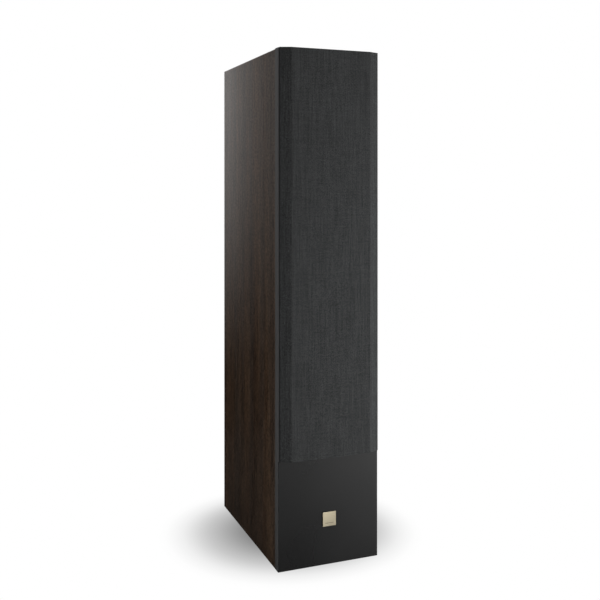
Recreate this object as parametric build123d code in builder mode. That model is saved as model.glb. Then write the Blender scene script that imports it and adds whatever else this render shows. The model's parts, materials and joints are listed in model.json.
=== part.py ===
from build123d import *
from dataclasses import dataclass
import math
import os

# Three-way floorstanding loudspeaker, in millimetres.
# Frame: +Z up, the speaker faces -Y, origin on the floor at the centre of the footprint.
# Left and right are as seen from the front, so right is +X.

os.makedirs("parts", exist_ok=True)

# ---------------------------------------------------------------- driving dimensions
HEIGHT = 1140.0                   # overall height, which is the baffle's
WIDTH = 240.0                     # overall width
BACK = 206.0                      # y of the cabinet wrap's rear edge
FRONT = -BACK                     # y of the baffle's front face
BAFFLE_T = 19.0                   # front baffle board
WRAP_T = 18.0                     # side, top and bottom boards
WRAP_TOP = HEIGHT - 1.0           # the wrap stops just below the baffle's top
REAR_T = 18.0                     # rear board
REAR_Y = BACK - 1.0               # y of the rear board's outer face, set into the wrap
BOARD_T = 15.0                    # inner boards
CORNER_R = 1.5                    # rounding along the wrap's long corners

HALF_WIDTH = WIDTH / 2
INNER_X = HALF_WIDTH - WRAP_T     # inner face of the side boards
INNER_TOP = WRAP_TOP - WRAP_T     # underside of the top board
BAFFLE_BACK = FRONT + BAFFLE_T
REAR_INNER = REAR_Y - REAR_T      # inner face of the rear board
WRAP_DEPTH = BACK - BAFFLE_BACK

WOOFER_UP_Z, WOOFER_LOW_Z, MID_Z, TWEETER_Z = 664.0, 426.0, 880.0, 1048.0
FLANGE_T = 5.0                    # every driver's flange, sunk flush into the baffle
FLANGE_GAP = 0.3                  # air around a flange

PEG_PLACES = [(x, z) for z in (262.0, 545.0, 783.0, 1118.0) for x in (-108.0, 108.0)]
SOCKET_R = 6.0                    # outer radius of the sockets for the grille's pegs

PORT_Z = (690.0, 330.0)           # upper, lower
PORT_R = 35.0                     # inner radius
PORT_SCREW_R = 58.5               # screw circle

TERMINAL_Z = 160.0
CUP_W, CUP_H = 118.0, 88.0        # body of the terminal cup
CUP_SCREW_DX, CUP_SCREW_DZ = 136.0, 100.0
POST_X, POST_DZ = 26.0, 20.0      # binding posts from the cup's centre

PILOT_R = 2.25                    # pilot holes for the screws
REAR_PILOT_DEPTH = 13.5
REAR_FLANGE_T = 3.0               # port and cup flanges, standing on the rear board
REAR_SCREW_HOLE_R = 2.4
FLANGE_SCREW_HOLE_R = 2.3
SCREW_SINK = 3.0                  # depth of a driver screw's seat behind the baffle's face

CABLE_Y = 150.0                   # the cables climb the cabinet at this y
MID_CABLE = (76.0, 815.0)         # x and height of the cable's run towards the front
TWEETER_CABLE = (84.0, 1010.0)

DIAGONAL = 1 - math.sqrt(0.5)     # how far an arc's 45 degree point is from its corner, over r


@dataclass
class ConeDriver:
    """Sizes of a moving-coil driver. Depths are behind the baffle's face."""
    flange_r: float
    step_r: float          # inner edge of the flange's front face
    seat_r: float          # inner edge of the surround's seat
    neck_r: float          # basket wall's outer radius behind the flange
    foot_r: float          # basket wall's outer radius at its rear
    foot_depth: float      # where the sloping wall ends
    base_depth: float      # front of the basket's rear plate
    ledge_depth: float     # ledge for the spider
    ledge_r: float
    roll_outer_r: float    # surround's half roll
    roll_inner_r: float
    cone_depth: float      # where the cone meets the coil former
    coil_r: float          # former's inner radius
    coil_length: float
    winding_length: float
    plate_r: float         # top plate and yoke
    plate_t: float
    magnet_r: float
    magnet_t: float
    yoke_t: float
    screw_count: int
    screw_r: float
    cap_r: float = 0.0     # dust cap; a driver without one has a phase plug

    def __post_init__(self):
        self.former_r = self.coil_r + 0.5
        self.plate_depth = self.base_depth + BASE_T
        self.magnet_depth = self.plate_depth + self.plate_t
        self.yoke_depth = self.magnet_depth + self.magnet_t

    def wall_r(self, depth):
        """Outer radius of the basket's sloping wall."""
        slope = (self.neck_r - self.foot_r) / (self.foot_depth - NECK_DEPTH)
        return self.neck_r - (depth - NECK_DEPTH) * slope


BASE_T = 4.0               # basket's rear plate
NECK_DEPTH = 10.0          # where the basket's wall starts to slope
WOOFER = ConeDriver(
    flange_r=108.0, step_r=97.0, seat_r=89.0, neck_r=92.0, foot_r=66.0, foot_depth=60.0,
    base_depth=64.0, ledge_depth=46.0, ledge_r=60.0, roll_outer_r=90.0, roll_inner_r=77.0,
    cone_depth=36.0, coil_r=19.0, coil_length=52.0, winding_length=16.0, plate_r=55.0,
    plate_t=8.0, magnet_r=60.0, magnet_t=20.0, yoke_t=8.0, screw_count=8, screw_r=102.5,
    cap_r=31.0)
MIDRANGE = ConeDriver(
    flange_r=86.0, step_r=76.5, seat_r=69.5, neck_r=72.0, foot_r=52.0, foot_depth=45.0,
    base_depth=48.0, ledge_depth=34.0, ledge_r=46.0, roll_outer_r=70.0, roll_inner_r=60.5,
    cone_depth=27.0, coil_r=15.0, coil_length=42.0, winding_length=11.0, plate_r=41.0,
    plate_t=6.0, magnet_r=45.0, magnet_t=16.0, yoke_t=6.0, screw_count=6, screw_r=81.2)
CONE_DRIVERS = (
    ("woofer_upper", WOOFER_UP_Z, WOOFER),
    ("woofer_lower", WOOFER_LOW_Z, WOOFER),
    ("midrange", MID_Z, MIDRANGE),
)
TWEETER_R, TWEETER_HOLE_R, TWEETER_SCREW_R = 60.0, 37.5, 52.0


# ---------------------------------------------------------------- helpers
# A sketch made in a function doesn't join the caller's part, so helpers make whole pieces,
# planes, or holes.
def save(name, builder):
    part = builder.part
    part.label = name
    export_step(part, f"parts/{name}.step")


def rear_plane(y, z=0.0, x=0.0):
    """Faces the rear, +Y. Local x runs along -X, local y along +Z."""
    return Plane(origin=(x, y, z), x_dir=(-1, 0, 0), z_dir=(0, 1, 0))


def front_plane(y, z=0.0, x=0.0):
    """Faces the front, -Y. Local x runs along +X, local y along +Z."""
    return Plane(origin=(x, y, z), x_dir=(1, 0, 0), z_dir=(0, -1, 0))


def profile_plane(x, z, y=0.0, turn=0.0):
    """For profiles turned about y_axis(x, z): local x is the radius, local y runs along +Y."""
    angle = math.radians(turn)
    return Plane(origin=(x, y, z), x_dir=(math.cos(angle), 0, math.sin(angle)),
                 z_dir=(-math.sin(angle), 0, math.cos(angle)))


def disc_plane(z, turn=0.0, x=0.0):
    """Profile plane whose local y is the depth behind the baffle's face."""
    return profile_plane(x, z, FRONT, turn)


def y_axis(x, z):
    return Axis((x, 0, z), (0, 1, 0))


def save_turned(name, places, *outlines):
    """Saves outlines of (radius, depth behind the baffle's face) turned at each (x, z)."""
    with BuildPart() as piece:
        for x, z in places:
            with BuildSketch(disc_plane(z, x=x)):
                for outline in outlines:
                    with BuildLine():
                        Polyline(*outline, outline[0])
                    make_face()
            revolve(axis=y_axis(x, z))
    save(name, piece)


def screw_circle(radius, count=4):
    return PolarLocations(radius, count, start_angle=180 / count)


def driver_opening(z, hole_r, flange_r, screw_r, count):
    """Stepped hole and pilot holes for a driver, cut in the open part."""
    with Locations(front_plane(FRONT, z)):
        CounterBoreHole(radius=hole_r, counter_bore_radius=flange_r + FLANGE_GAP,
                        counter_bore_depth=FLANGE_T, depth=BAFFLE_T)
        with screw_circle(screw_r, count):
            Hole(radius=PILOT_R, depth=17.5)


def flange_screw_holes(z, radius, count):
    """Counterbored screw holes in a driver's flange, cut in the open part."""
    with Locations(front_plane(FRONT, z)):
        with screw_circle(radius, count):
            CounterBoreHole(radius=FLANGE_SCREW_HOLE_R, counter_bore_radius=4.3,
                            counter_bore_depth=SCREW_SINK, depth=FLANGE_T)


def ball_radius(rim_r, rise):
    """Radius of the sphere whose cap has this rim and rise."""
    return (rim_r**2 + rise**2) / (2 * rise)


def ball_depth(radius, ball_r, centre):
    """Depth of the front of a sphere centred at depth centre."""
    return centre - math.sqrt(ball_r**2 - radius**2)


# ---------------------------------------------------------------- cabinet wrap
# Four boards mitred at 45 degrees. A rounded corner crosses the mitre at mitre_inset from
# both faces; half of its arc has its middle at arc_near and arc_far from the two faces.
mitre_inset = CORNER_R * DIAGONAL
arc_near = CORNER_R * (1 - math.cos(math.radians(22.5)))
arc_far = CORNER_R * (1 - math.sin(math.radians(22.5)))
mitre_top = (HALF_WIDTH - mitre_inset, WRAP_TOP - mitre_inset)
mitre_bottom = (HALF_WIDTH - mitre_inset, mitre_inset)

with BuildPart() as side_panel_right:
    with BuildSketch(front_plane(BAFFLE_BACK)):
        with BuildLine():
            Polyline((INNER_X, WRAP_T), mitre_bottom)
            ThreePointArc(mitre_bottom, (HALF_WIDTH - arc_near, arc_far), (HALF_WIDTH, CORNER_R))
            Line((HALF_WIDTH, CORNER_R), (HALF_WIDTH, WRAP_TOP - CORNER_R))
            ThreePointArc((HALF_WIDTH, WRAP_TOP - CORNER_R),
                          (HALF_WIDTH - arc_near, WRAP_TOP - arc_far), mitre_top)
            Polyline(mitre_top, (INNER_X, INNER_TOP), (INNER_X, WRAP_T))
        make_face()
    extrude(amount=-WRAP_DEPTH)
save("side_panel_right", side_panel_right)

with BuildPart() as side_panel_left:
    mirror(side_panel_right.part, about=Plane.YZ)
save("side_panel_left", side_panel_left)


def level_board(outer_z, inward):
    """Top or bottom board; inward is -1 or 1, the z direction into the cabinet."""
    mitre_x, mitre_z = HALF_WIDTH - mitre_inset, outer_z + inward * mitre_inset
    inner_z = outer_z + inward * WRAP_T
    flat_x = HALF_WIDTH - CORNER_R
    arc_x, arc_z = HALF_WIDTH - arc_far, outer_z + inward * arc_near
    with BuildPart() as board:
        with BuildSketch(front_plane(BAFFLE_BACK)):
            with BuildLine():
                Polyline((-mitre_x, mitre_z), (-INNER_X, inner_z), (INNER_X, inner_z),
                         (mitre_x, mitre_z))
                ThreePointArc((mitre_x, mitre_z), (arc_x, arc_z), (flat_x, outer_z))
                Line((flat_x, outer_z), (-flat_x, outer_z))
                ThreePointArc((-flat_x, outer_z), (-arc_x, arc_z), (-mitre_x, mitre_z))
            make_face()
        extrude(amount=-WRAP_DEPTH)
    return board


save("top_panel", level_board(WRAP_TOP, -1))

# Bottom board: blind holes from below for the threaded spike inserts.
INSERT_X, INSERT_Y = 88.0, 168.0
INSERT_R, INSERT_RIM_R, INSERT_RIM_Z = 6.0, 8.5, 1.2
with BuildPart() as bottom_panel:
    add(level_board(0, 1).part)
    with Locations(Plane(origin=(0, 0, 0), x_dir=(1, 0, 0), z_dir=(0, 0, -1))):
        with GridLocations(2 * INSERT_X, 2 * INSERT_Y, 2, 2):
            CounterBoreHole(radius=INSERT_R, counter_bore_radius=INSERT_RIM_R,
                            counter_bore_depth=INSERT_RIM_Z, depth=15.2)
save("bottom_panel", bottom_panel)

# Brass inserts with an M8 thread, drawn at the thread's minor radius.
THREAD_R = 3.4
INSERT_PROFILE = (         # radius, height
    (THREAD_R, 1.0), (3.9, 0.4), (INSERT_RIM_R, 0.4), (INSERT_RIM_R, INSERT_RIM_Z),
    (INSERT_R, INSERT_RIM_Z), (INSERT_R, 15.0), (THREAD_R, 15.0), (THREAD_R, 1.0))
with BuildPart() as threaded_inserts:
    for x in (-INSERT_X, INSERT_X):
        for y in (-INSERT_Y, INSERT_Y):
            with BuildSketch(front_plane(y, x=x)):
                with BuildLine():
                    Polyline(*INSERT_PROFILE)
                make_face()
            revolve(axis=Axis((x, y, 0), (0, 0, 1)))
save("threaded_inserts", threaded_inserts)

# Rear board: two port holes and the terminal cut-out, with pilot holes for their screws.
with BuildPart() as rear_panel:
    with BuildSketch(rear_plane(REAR_Y, WRAP_TOP / 2)):
        Rectangle(2 * INNER_X, WRAP_TOP - 2 * WRAP_T)
    extrude(amount=-REAR_T)
    for z in PORT_Z:
        with Locations(rear_plane(REAR_Y, z)):
            Hole(radius=53.2, depth=REAR_T)
            with screw_circle(PORT_SCREW_R):
                Hole(radius=PILOT_R, depth=REAR_PILOT_DEPTH)
    with BuildSketch(rear_plane(REAR_Y, TERMINAL_Z)):
        RectangleRounded(CUP_W + 0.6, CUP_H + 0.6, 10.3)
    extrude(amount=-REAR_T, mode=Mode.SUBTRACT)
    with Locations(rear_plane(REAR_Y, TERMINAL_Z)):
        with GridLocations(CUP_SCREW_DX, CUP_SCREW_DZ, 2, 2):
            Hole(radius=PILOT_R, depth=REAR_PILOT_DEPTH)
save("rear_panel", rear_panel)

# ---------------------------------------------------------------- front baffle
with BuildPart() as front_baffle:
    with BuildSketch(front_plane(FRONT, HEIGHT / 2)):
        Rectangle(WIDTH, HEIGHT)
    extrude(amount=-BAFFLE_T)
    fillet(front_baffle.edges().filter_by(Axis.Z).group_by(Axis.Y)[0], radius=1.5)
    fillet(front_baffle.faces().sort_by(Axis.Y)[0].edges().filter_by(Axis.X), radius=0.8)
    for _, z, size in CONE_DRIVERS:
        driver_opening(z, size.neck_r + 1.5, size.flange_r, size.screw_r, size.screw_count)
    driver_opening(TWEETER_Z, TWEETER_HOLE_R, TWEETER_R, TWEETER_SCREW_R, 4)
    for x, z in PEG_PLACES:
        with Locations(front_plane(FRONT, z, x)):
            Hole(radius=SOCKET_R, depth=14.0)
save("front_baffle", front_baffle)

# ---------------------------------------------------------------- inner boards
SHELF_Z = 783.0
SHELF_BOTTOM = SHELF_Z - BOARD_T / 2
DIVIDER_Z = 545.0
ENCLOSURE_Y = 8.0                         # front face of the enclosure's back board
ENCLOSURE_BACK = ENCLOSURE_Y + BOARD_T

# Sealed box for the midrange and tweeter: a shelf and a back board with two cable holes.
with BuildPart() as midrange_enclosure:
    with Locations((0, (BAFFLE_BACK + ENCLOSURE_Y) / 2, SHELF_Z)):
        Box(2 * INNER_X, ENCLOSURE_Y - BAFFLE_BACK, BOARD_T)
    with Locations((0, ENCLOSURE_Y + BOARD_T / 2, (SHELF_BOTTOM + INNER_TOP) / 2)):
        Box(2 * INNER_X, BOARD_T, INNER_TOP - SHELF_BOTTOM)
    with Locations(*[rear_plane(ENCLOSURE_BACK, z, x) for x, z in (MID_CABLE, TWEETER_CABLE)]):
        Hole(radius=3.0, depth=BOARD_T)
save("midrange_enclosure", midrange_enclosure)

# Shelf that parts the two bass chambers, with one slot for the cables.
with BuildPart() as bass_divider:
    with Locations((0, (BAFFLE_BACK + REAR_INNER) / 2, DIVIDER_Z)):
        Box(2 * INNER_X, REAR_INNER - BAFFLE_BACK, BOARD_T)
    with BuildSketch(Plane.XY.offset(DIVIDER_Z - BOARD_T)):
        with Locations((76, CABLE_Y)):
            SlotOverall(34, 12)
    extrude(amount=2 * BOARD_T, mode=Mode.SUBTRACT)
save("bass_divider", bass_divider)

# Window braces: boards with a large opening, tying the walls together.
BRACES = (                 # middle height, front y, rear y
    (95.5, BAFFLE_BACK, REAR_INNER),
    (247.5, BAFFLE_BACK, REAR_INNER),
    (950.0, ENCLOSURE_BACK, REAR_INNER),
)
with BuildPart() as window_braces:
    for z, front_y, rear_y in BRACES:
        with BuildSketch(Plane.XY.offset(z - BOARD_T / 2)):
            with Locations((0, (front_y + rear_y) / 2)):
                Rectangle(2 * INNER_X, rear_y - front_y)
                RectangleRounded(140, rear_y - front_y - 104, 20, mode=Mode.SUBTRACT)
            with Locations((72, CABLE_Y)):
                SlotOverall(42, 12, mode=Mode.SUBTRACT)
        extrude(amount=BOARD_T)
save("window_braces", window_braces)

# Soft wadding against the side walls.
PAD_X, PAD_T = 90.7, 21.0
PADS = (                   # bottom, top, front y, rear y
    (300, 528, -138, 118),
    (560, 768, -138, 118),
    (800, 985, -150, 0),
)
with BuildPart() as damping_pads:
    for bottom, top, front_y, rear_y in PADS:
        for x in (-PAD_X, PAD_X):
            with Locations((x, (front_y + rear_y) / 2, (bottom + top) / 2)):
                Box(PAD_T, rear_y - front_y, top - bottom)
    fillet(damping_pads.edges(), radius=6.0)
save("damping_pads", damping_pads)


# ---------------------------------------------------------------- reflex ports
def make_port_tube(name, z):
    """Moulded tube flared at both ends. Local y is measured from the rear board's face."""
    flange_inner, flange_outer = 53.0, 65.0
    outer_r = PORT_R + 3
    mouth = 17.0                          # radius of the mouth's inner rounding
    mouth_back = 15.0                     # radius of the rounding behind the flange
    flare_y = -142.0                      # where the inner end starts to flare
    with BuildPart() as tube:
        with BuildSketch(profile_plane(0, z, REAR_Y)):
            with BuildLine():
                Polyline((PORT_R + mouth, REAR_FLANGE_T), (flange_outer - 1, REAR_FLANGE_T),
                         (flange_outer, 2.2), (flange_outer, 0.0), (flange_inner, 0.0))
                ThreePointArc((flange_inner, 0.0),
                              (outer_r + mouth_back * DIAGONAL, -mouth_back * DIAGONAL),
                              (outer_r, -mouth_back))
                Line((outer_r, -mouth_back), (outer_r, flare_y))
                ThreePointArc((outer_r, flare_y), (PORT_R + 6.0, -153.5),
                              (PORT_R + 12.0, -160.0))
                Line((PORT_R + 12.0, -160.0), (PORT_R + 9.5, -161.8))
                ThreePointArc((PORT_R + 9.5, -161.8), (PORT_R + 2.6, -153.5),
                              (PORT_R, flare_y))
                Line((PORT_R, flare_y), (PORT_R, REAR_FLANGE_T - mouth))
                ThreePointArc((PORT_R, REAR_FLANGE_T - mouth),
                              (PORT_R + mouth * DIAGONAL, REAR_FLANGE_T - mouth * DIAGONAL),
                              (PORT_R + mouth, REAR_FLANGE_T))
            make_face()
        revolve(axis=y_axis(0, z))
        with Locations(rear_plane(REAR_Y + REAR_FLANGE_T, z)):
            with screw_circle(PORT_SCREW_R):
                Hole(radius=REAR_SCREW_HOLE_R, depth=REAR_FLANGE_T)
    save(name, tube)


make_port_tube("port_tube_upper", PORT_Z[0])
make_port_tube("port_tube_lower", PORT_Z[1])

# ---------------------------------------------------------------- terminal cup and posts
FLOOR_Y = 188.0            # outer face of the cup's floor
COLLAR_Y = 192.0           # outer face of the posts' collars
COLLAR_R, COLLAR_NECK_R = 9.5, 4.2
NUT_Y = 181.0              # outer face of the nuts
STUD_R = 3.0
SLIDE_R = STUD_R + 0.06    # bore of the parts that move on the studs
JUMPER_T, WASHER_T = 1.2, 1.5
WASHER_Y = COLLAR_Y + JUMPER_T
KNOB_Y = WASHER_Y + WASHER_T + 0.02
KNOB_END = 221.5           # y of the knobs' outer ends
posts = [(x, TERMINAL_Z + dz) for dz in (POST_DZ, -POST_DZ) for x in (-POST_X, POST_X)]

with BuildPart() as terminal_cup:
    with BuildSketch(rear_plane(REAR_Y, TERMINAL_Z)):
        RectangleRounded(152, 116, 12)
    extrude(amount=REAR_FLANGE_T)
    fillet(terminal_cup.faces().sort_by(Axis.Y)[-1].edges(), radius=1.2)
    with BuildSketch(rear_plane(REAR_Y, TERMINAL_Z)):
        RectangleRounded(CUP_W, CUP_H, 10)
    extrude(amount=-20.0)
    with BuildSketch(rear_plane(REAR_Y + REAR_FLANGE_T, TERMINAL_Z)):
        RectangleRounded(CUP_W - 5, CUP_H - 5, 8)
    extrude(amount=-20.0, taper=4, mode=Mode.SUBTRACT)
    with Locations(*[rear_plane(FLOOR_Y, z, x) for x, z in posts]):
        Hole(radius=COLLAR_NECK_R, depth=4.0)
    with Locations(rear_plane(REAR_Y + REAR_FLANGE_T, TERMINAL_Z)):
        with GridLocations(CUP_SCREW_DX, CUP_SCREW_DZ, 2, 2):
            Hole(radius=REAR_SCREW_HOLE_R, depth=REAR_FLANGE_T)
save("terminal_cup", terminal_cup)

# Each post: threaded stud with a banana socket, insulating collar and hex nut inside.
STUD_PROFILE = (           # radius, y
    (0, 166), (2.6, 166), (STUD_R, 166.6), (STUD_R, 217.5), (2.5, 218), (2.05, 218),
    (2.05, 196), (0, 194), (0, 166))
COLLAR_PROFILE = (         # radius, y
    (STUD_R, NUT_Y), (COLLAR_NECK_R, NUT_Y), (COLLAR_NECK_R, FLOOR_Y), (COLLAR_R, FLOOR_Y),
    (COLLAR_R, COLLAR_Y - 0.8), (COLLAR_R - 0.8, COLLAR_Y), (STUD_R, COLLAR_Y),
    (STUD_R, NUT_Y))
with BuildPart() as binding_posts:
    for x, z in posts:
        with BuildSketch(profile_plane(x, z)):
            with BuildLine():
                Polyline(*STUD_PROFILE)
            make_face()
        revolve(axis=y_axis(x, z))
    for x, z in posts:
        with BuildSketch(profile_plane(x, z)):
            with BuildLine():
                Polyline(*COLLAR_PROFILE)
            make_face()
        revolve(axis=y_axis(x, z))
        with BuildSketch(rear_plane(NUT_Y, z, x)):
            RegularPolygon(radius=5.0, side_count=6, major_radius=False)
        extrude(amount=-4.0)
save("binding_posts", binding_posts)

# Two jumper plates join each lower post to the one above it.
with BuildPart() as jumper_plates:
    for x in (-POST_X, POST_X):
        with BuildSketch(rear_plane(COLLAR_Y, TERMINAL_Z, x)):
            SlotOverall(2 * POST_DZ + 15, 13, rotation=90)
            with Locations((0, POST_DZ), (0, -POST_DZ)):
                Circle(STUD_R + 0.2, mode=Mode.SUBTRACT)
        extrude(amount=JUMPER_T)
save("jumper_plates", jumper_plates)


def make_clamp_washer(name, x, z):
    """Captive washer that slides along the stud."""
    with BuildPart() as washer:
        with BuildSketch(rear_plane(WASHER_Y, z, x)):
            Circle(7.5)
            Circle(SLIDE_R, mode=Mode.SUBTRACT)
        extrude(amount=WASHER_T)
        outer_face = washer.faces().sort_by(Axis.Y)[-1]
        chamfer(outer_face.edges().sort_by(SortBy.LENGTH)[-1], length=0.3)
    save(name, washer)


KNOB_PROFILE = (           # radius, y
    (SLIDE_R, KNOB_Y), (7.4, KNOB_Y), (8.0, KNOB_Y + 0.6), (8.0, KNOB_Y + 3.2),
    (9.0, KNOB_Y + 4.0), (9.0, KNOB_END - 4.6), (8.2, KNOB_END - 3.8), (8.2, KNOB_END - 0.9),
    (7.3, KNOB_END), (4.6, KNOB_END), (3.5, KNOB_END - 1.4), (SLIDE_R, KNOB_END - 1.8),
    (SLIDE_R, KNOB_Y))


def make_post_knob(name, x, z):
    """Fluted knob that turns on the stud and pushes the washer."""
    with BuildPart() as knob:
        with BuildSketch(profile_plane(x, z)):
            with BuildLine():
                Polyline(*KNOB_PROFILE)
            make_face()
        revolve(axis=y_axis(x, z))
        with BuildSketch(rear_plane(KNOB_Y + 4.2, z, x)):
            with PolarLocations(9.75, 14):
                Circle(1.25)
        extrude(amount=KNOB_END - KNOB_Y - 9.0, mode=Mode.SUBTRACT)
    save(name, knob)


for i, (x, z) in enumerate(posts, start=1):
    make_clamp_washer(f"clamp_washer_{i}", x, z)
    make_post_knob(f"post_knob_{i}", x, z)

# ---------------------------------------------------------------- crossover
CIRCUIT_Z = 26.0                   # underside of the circuit board
CIRCUIT_T = 2.0
CIRCUIT_TOP = CIRCUIT_Z + CIRCUIT_T
CIRCUIT_Y = -30                    # its centre
CIRCUIT_SIDE, STANDOFF_PITCH = 180, 164

with BuildPart() as crossover_board:
    with BuildSketch(Plane.XY.offset(CIRCUIT_Z)):
        with Locations((0, CIRCUIT_Y)):
            RectangleRounded(CIRCUIT_SIDE, CIRCUIT_SIDE, 3)
            with GridLocations(STANDOFF_PITCH, STANDOFF_PITCH, 2, 2):
                Circle(1.8, mode=Mode.SUBTRACT)
    extrude(amount=CIRCUIT_T)
    # terminal block along the rear edge
    with Locations((0, 54, CIRCUIT_TOP + 5.0)):
        Box(178, 8, 10)
    # standoffs on the bottom panel
    with BuildSketch(Plane.XY.offset(WRAP_T)):
        with Locations((0, CIRCUIT_Y)):
            with GridLocations(STANDOFF_PITCH, STANDOFF_PITCH, 2, 2):
                Circle(4.0)
    extrude(amount=CIRCUIT_Z - WRAP_T)
save("crossover_board", crossover_board)

# Air-core coils: three lying flat and one upright.
FLAT_COILS = (             # x, y, outer radius, inner radius, height
    (-50, -80, 32, 14, 26),
    (22, -84, 28, 12, 24),
    (-54, -8, 26, 11, 22),
)
UPRIGHT_R = 22
with BuildPart() as crossover_inductors:
    for x, y, outer_r, inner_r, height in FLAT_COILS:
        with BuildSketch(Plane.XY.offset(CIRCUIT_TOP)):
            with Locations((x, y)):
                Circle(outer_r)
                Circle(inner_r, mode=Mode.SUBTRACT)
        extrude(amount=height)
    with BuildSketch(Plane.YZ.offset(62)):
        with Locations((-92, CIRCUIT_TOP + UPRIGHT_R)):
            Circle(UPRIGHT_R)
            Circle(9, mode=Mode.SUBTRACT)
    extrude(amount=18)
save("crossover_inductors", crossover_inductors)

CAPACITORS = (             # x, y, radius, length along X
    (-18, 30, 11, 46), (27, 30, 9, 40), (12, -30, 10, 44), (12, -8, 8, 40), (66, -30, 11, 36))
with BuildPart() as crossover_capacitors:
    for x, y, radius, length in CAPACITORS:
        with Locations(Location((x, y, CIRCUIT_TOP + radius + 0.01), (0, 90, 0))):
            Cylinder(radius, length)
    chamfer(crossover_capacitors.edges().filter_by(GeomType.CIRCLE), length=1.2)
save("crossover_capacitors", crossover_capacitors)

with BuildPart() as crossover_resistors:
    for x, y in ((-62, 32), (66, -2), (66, 12), (66, 26)):
        with Locations((x, y, CIRCUIT_TOP + 5)):
            Box(34, 9, 10)
    chamfer(crossover_resistors.edges().filter_by(Axis.X), length=0.8)
save("crossover_resistors", crossover_resistors)

# ---------------------------------------------------------------- cone drivers
# Profiles are (radius, depth behind the baffle's face).
BASKET_WALL = 3.2
SEAT_DEPTH = 3.0           # where the surround is glued to the basket
LEDGE_T = 3.5
WINDOW_COUNT, WINDOW_ARC = 6, 42


def make_basket(name, z, size):
    """Flange, sloping wall with windows, spider ledge and rear plate."""
    flange_r, step_r, neck_r, foot_r = size.flange_r, size.step_r, size.neck_r, size.foot_r
    ledge, ledge_back = size.ledge_depth, size.ledge_depth + LEDGE_T
    base, bore_r = size.base_depth, size.coil_r + 6
    window_inner, window_outer, window_front = size.ledge_r - 4, neck_r + 8, 13
    window_back = ledge - 2.5
    with BuildPart() as basket:
        with BuildSketch(disc_plane(z)):
            with BuildLine():
                Polyline(
                    (step_r, 0.5), (step_r + 0.5, 0), (flange_r - 0.5, 0), (flange_r, 0.5),
                    (flange_r, FLANGE_T), (neck_r, FLANGE_T), (neck_r, NECK_DEPTH),
                    (foot_r, size.foot_depth), (foot_r, base + BASE_T),
                    (bore_r, base + BASE_T), (bore_r, base), (foot_r - BASKET_WALL, base),
                    (size.wall_r(ledge_back) - BASKET_WALL, ledge_back),
                    (size.ledge_r, ledge_back), (size.ledge_r, ledge),
                    (size.wall_r(ledge) - BASKET_WALL, ledge), (size.seat_r, NECK_DEPTH),
                    (size.seat_r, SEAT_DEPTH), (step_r, SEAT_DEPTH), (step_r, 0.5))
            make_face()
        revolve(axis=y_axis(0, z))
        for i in range(WINDOW_COUNT):
            turn = 360.0 / WINDOW_COUNT * (i + 0.5) - WINDOW_ARC / 2
            with BuildSketch(disc_plane(z, turn)):
                with BuildLine():
                    Polyline((window_inner, window_front), (window_outer, window_front),
                             (window_outer, window_back), (window_inner, window_back),
                             (window_inner, window_front))
                make_face()
            revolve(axis=y_axis(0, z), revolution_arc=-WINDOW_ARC, mode=Mode.SUBTRACT)
        flange_screw_holes(z, size.screw_r, size.screw_count)
    save(name, basket)


def make_motor(name, z, size):
    """Top plate, and T-yoke with its pole inside the coil. The ferrite ring is separate."""
    gap_r, bore_r = size.coil_r + 2.0, 5.0
    pole_r, pole_front = size.coil_r - 0.7, size.plate_depth - 1
    yoke, yoke_back = size.yoke_depth, size.yoke_depth + size.yoke_t
    top_plate = [(gap_r, size.plate_depth), (size.plate_r, size.plate_depth),
                 (size.plate_r, size.magnet_depth), (gap_r, size.magnet_depth)]
    t_yoke = [(bore_r, pole_front), (pole_r, pole_front), (pole_r, yoke - 2),
              (pole_r + 3, yoke), (size.plate_r, yoke), (size.plate_r - 2, yoke_back),
              (bore_r + 2, yoke_back), (bore_r, yoke_back - 2)]
    save_turned(name, [(0, z)], top_plate, t_yoke)


def cone_front_points(size):
    """Three points of the arc of the cone's front, from the rim in to the former."""
    rim_r, rim_depth = size.roll_inner_r - 0.1, 5.0
    middle_depth = rim_depth + (size.cone_depth - rim_depth) * 0.41
    return ((rim_r - 3, rim_depth), ((rim_r + size.former_r) / 2, middle_depth),
            (size.former_r, size.cone_depth))


def make_cone(name, z, size):
    """Curved paper shell from the surround down to the coil former."""
    rim_r = size.roll_inner_r - 0.1
    thickness, former_thickness = 1.2, 1.5
    outer, middle, inner = cone_front_points(size)
    outer_back = (outer[0], outer[1] + thickness)
    middle_back = (middle[0], middle[1] + thickness)
    inner_back = (inner[0], inner[1] + former_thickness)
    with BuildPart() as cone:
        with BuildSketch(disc_plane(z)):
            with BuildLine():
                Line((rim_r, 4.0), outer)
                ThreePointArc(outer, middle, inner)
                Line(inner, inner_back)
                ThreePointArc(inner_back, middle_back, outer_back)
                Polyline(outer_back, (rim_r, 4.0 + thickness), (rim_r, 4.0))
            make_face()
        revolve(axis=y_axis(0, z))
    save(name, cone)


def make_voice_coil(name, z, size):
    """Former with the winding inside the magnetic gap."""
    front = size.cone_depth - 1.5
    back = front + size.coil_length
    winding_front = size.plate_depth + size.plate_t / 2 - size.winding_length / 2
    winding_back = winding_front + size.winding_length
    winding_r = size.former_r + 0.8
    save_turned(name, [(0, z)], [
        (size.coil_r, front), (size.former_r, front), (size.former_r, winding_front),
        (winding_r, winding_front), (winding_r, winding_back), (size.former_r, winding_back),
        (size.former_r, back), (size.coil_r, back)])


def circle_through(p0, p1, p2):
    """Centre and radius of the circle through three points."""
    (ax, ay), (bx, by), (cx, cy) = p0, p1, p2
    det = 2 * (ax * (by - cy) + bx * (cy - ay) + cx * (ay - by))
    a_sq, b_sq, c_sq = ax**2 + ay**2, bx**2 + by**2, cx**2 + cy**2
    x = (a_sq * (by - cy) + b_sq * (cy - ay) + c_sq * (ay - by)) / det
    y = (a_sq * (cx - bx) + b_sq * (ax - cx) + c_sq * (bx - ax)) / det
    return (x, y), math.hypot(ax - x, ay - y)


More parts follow.
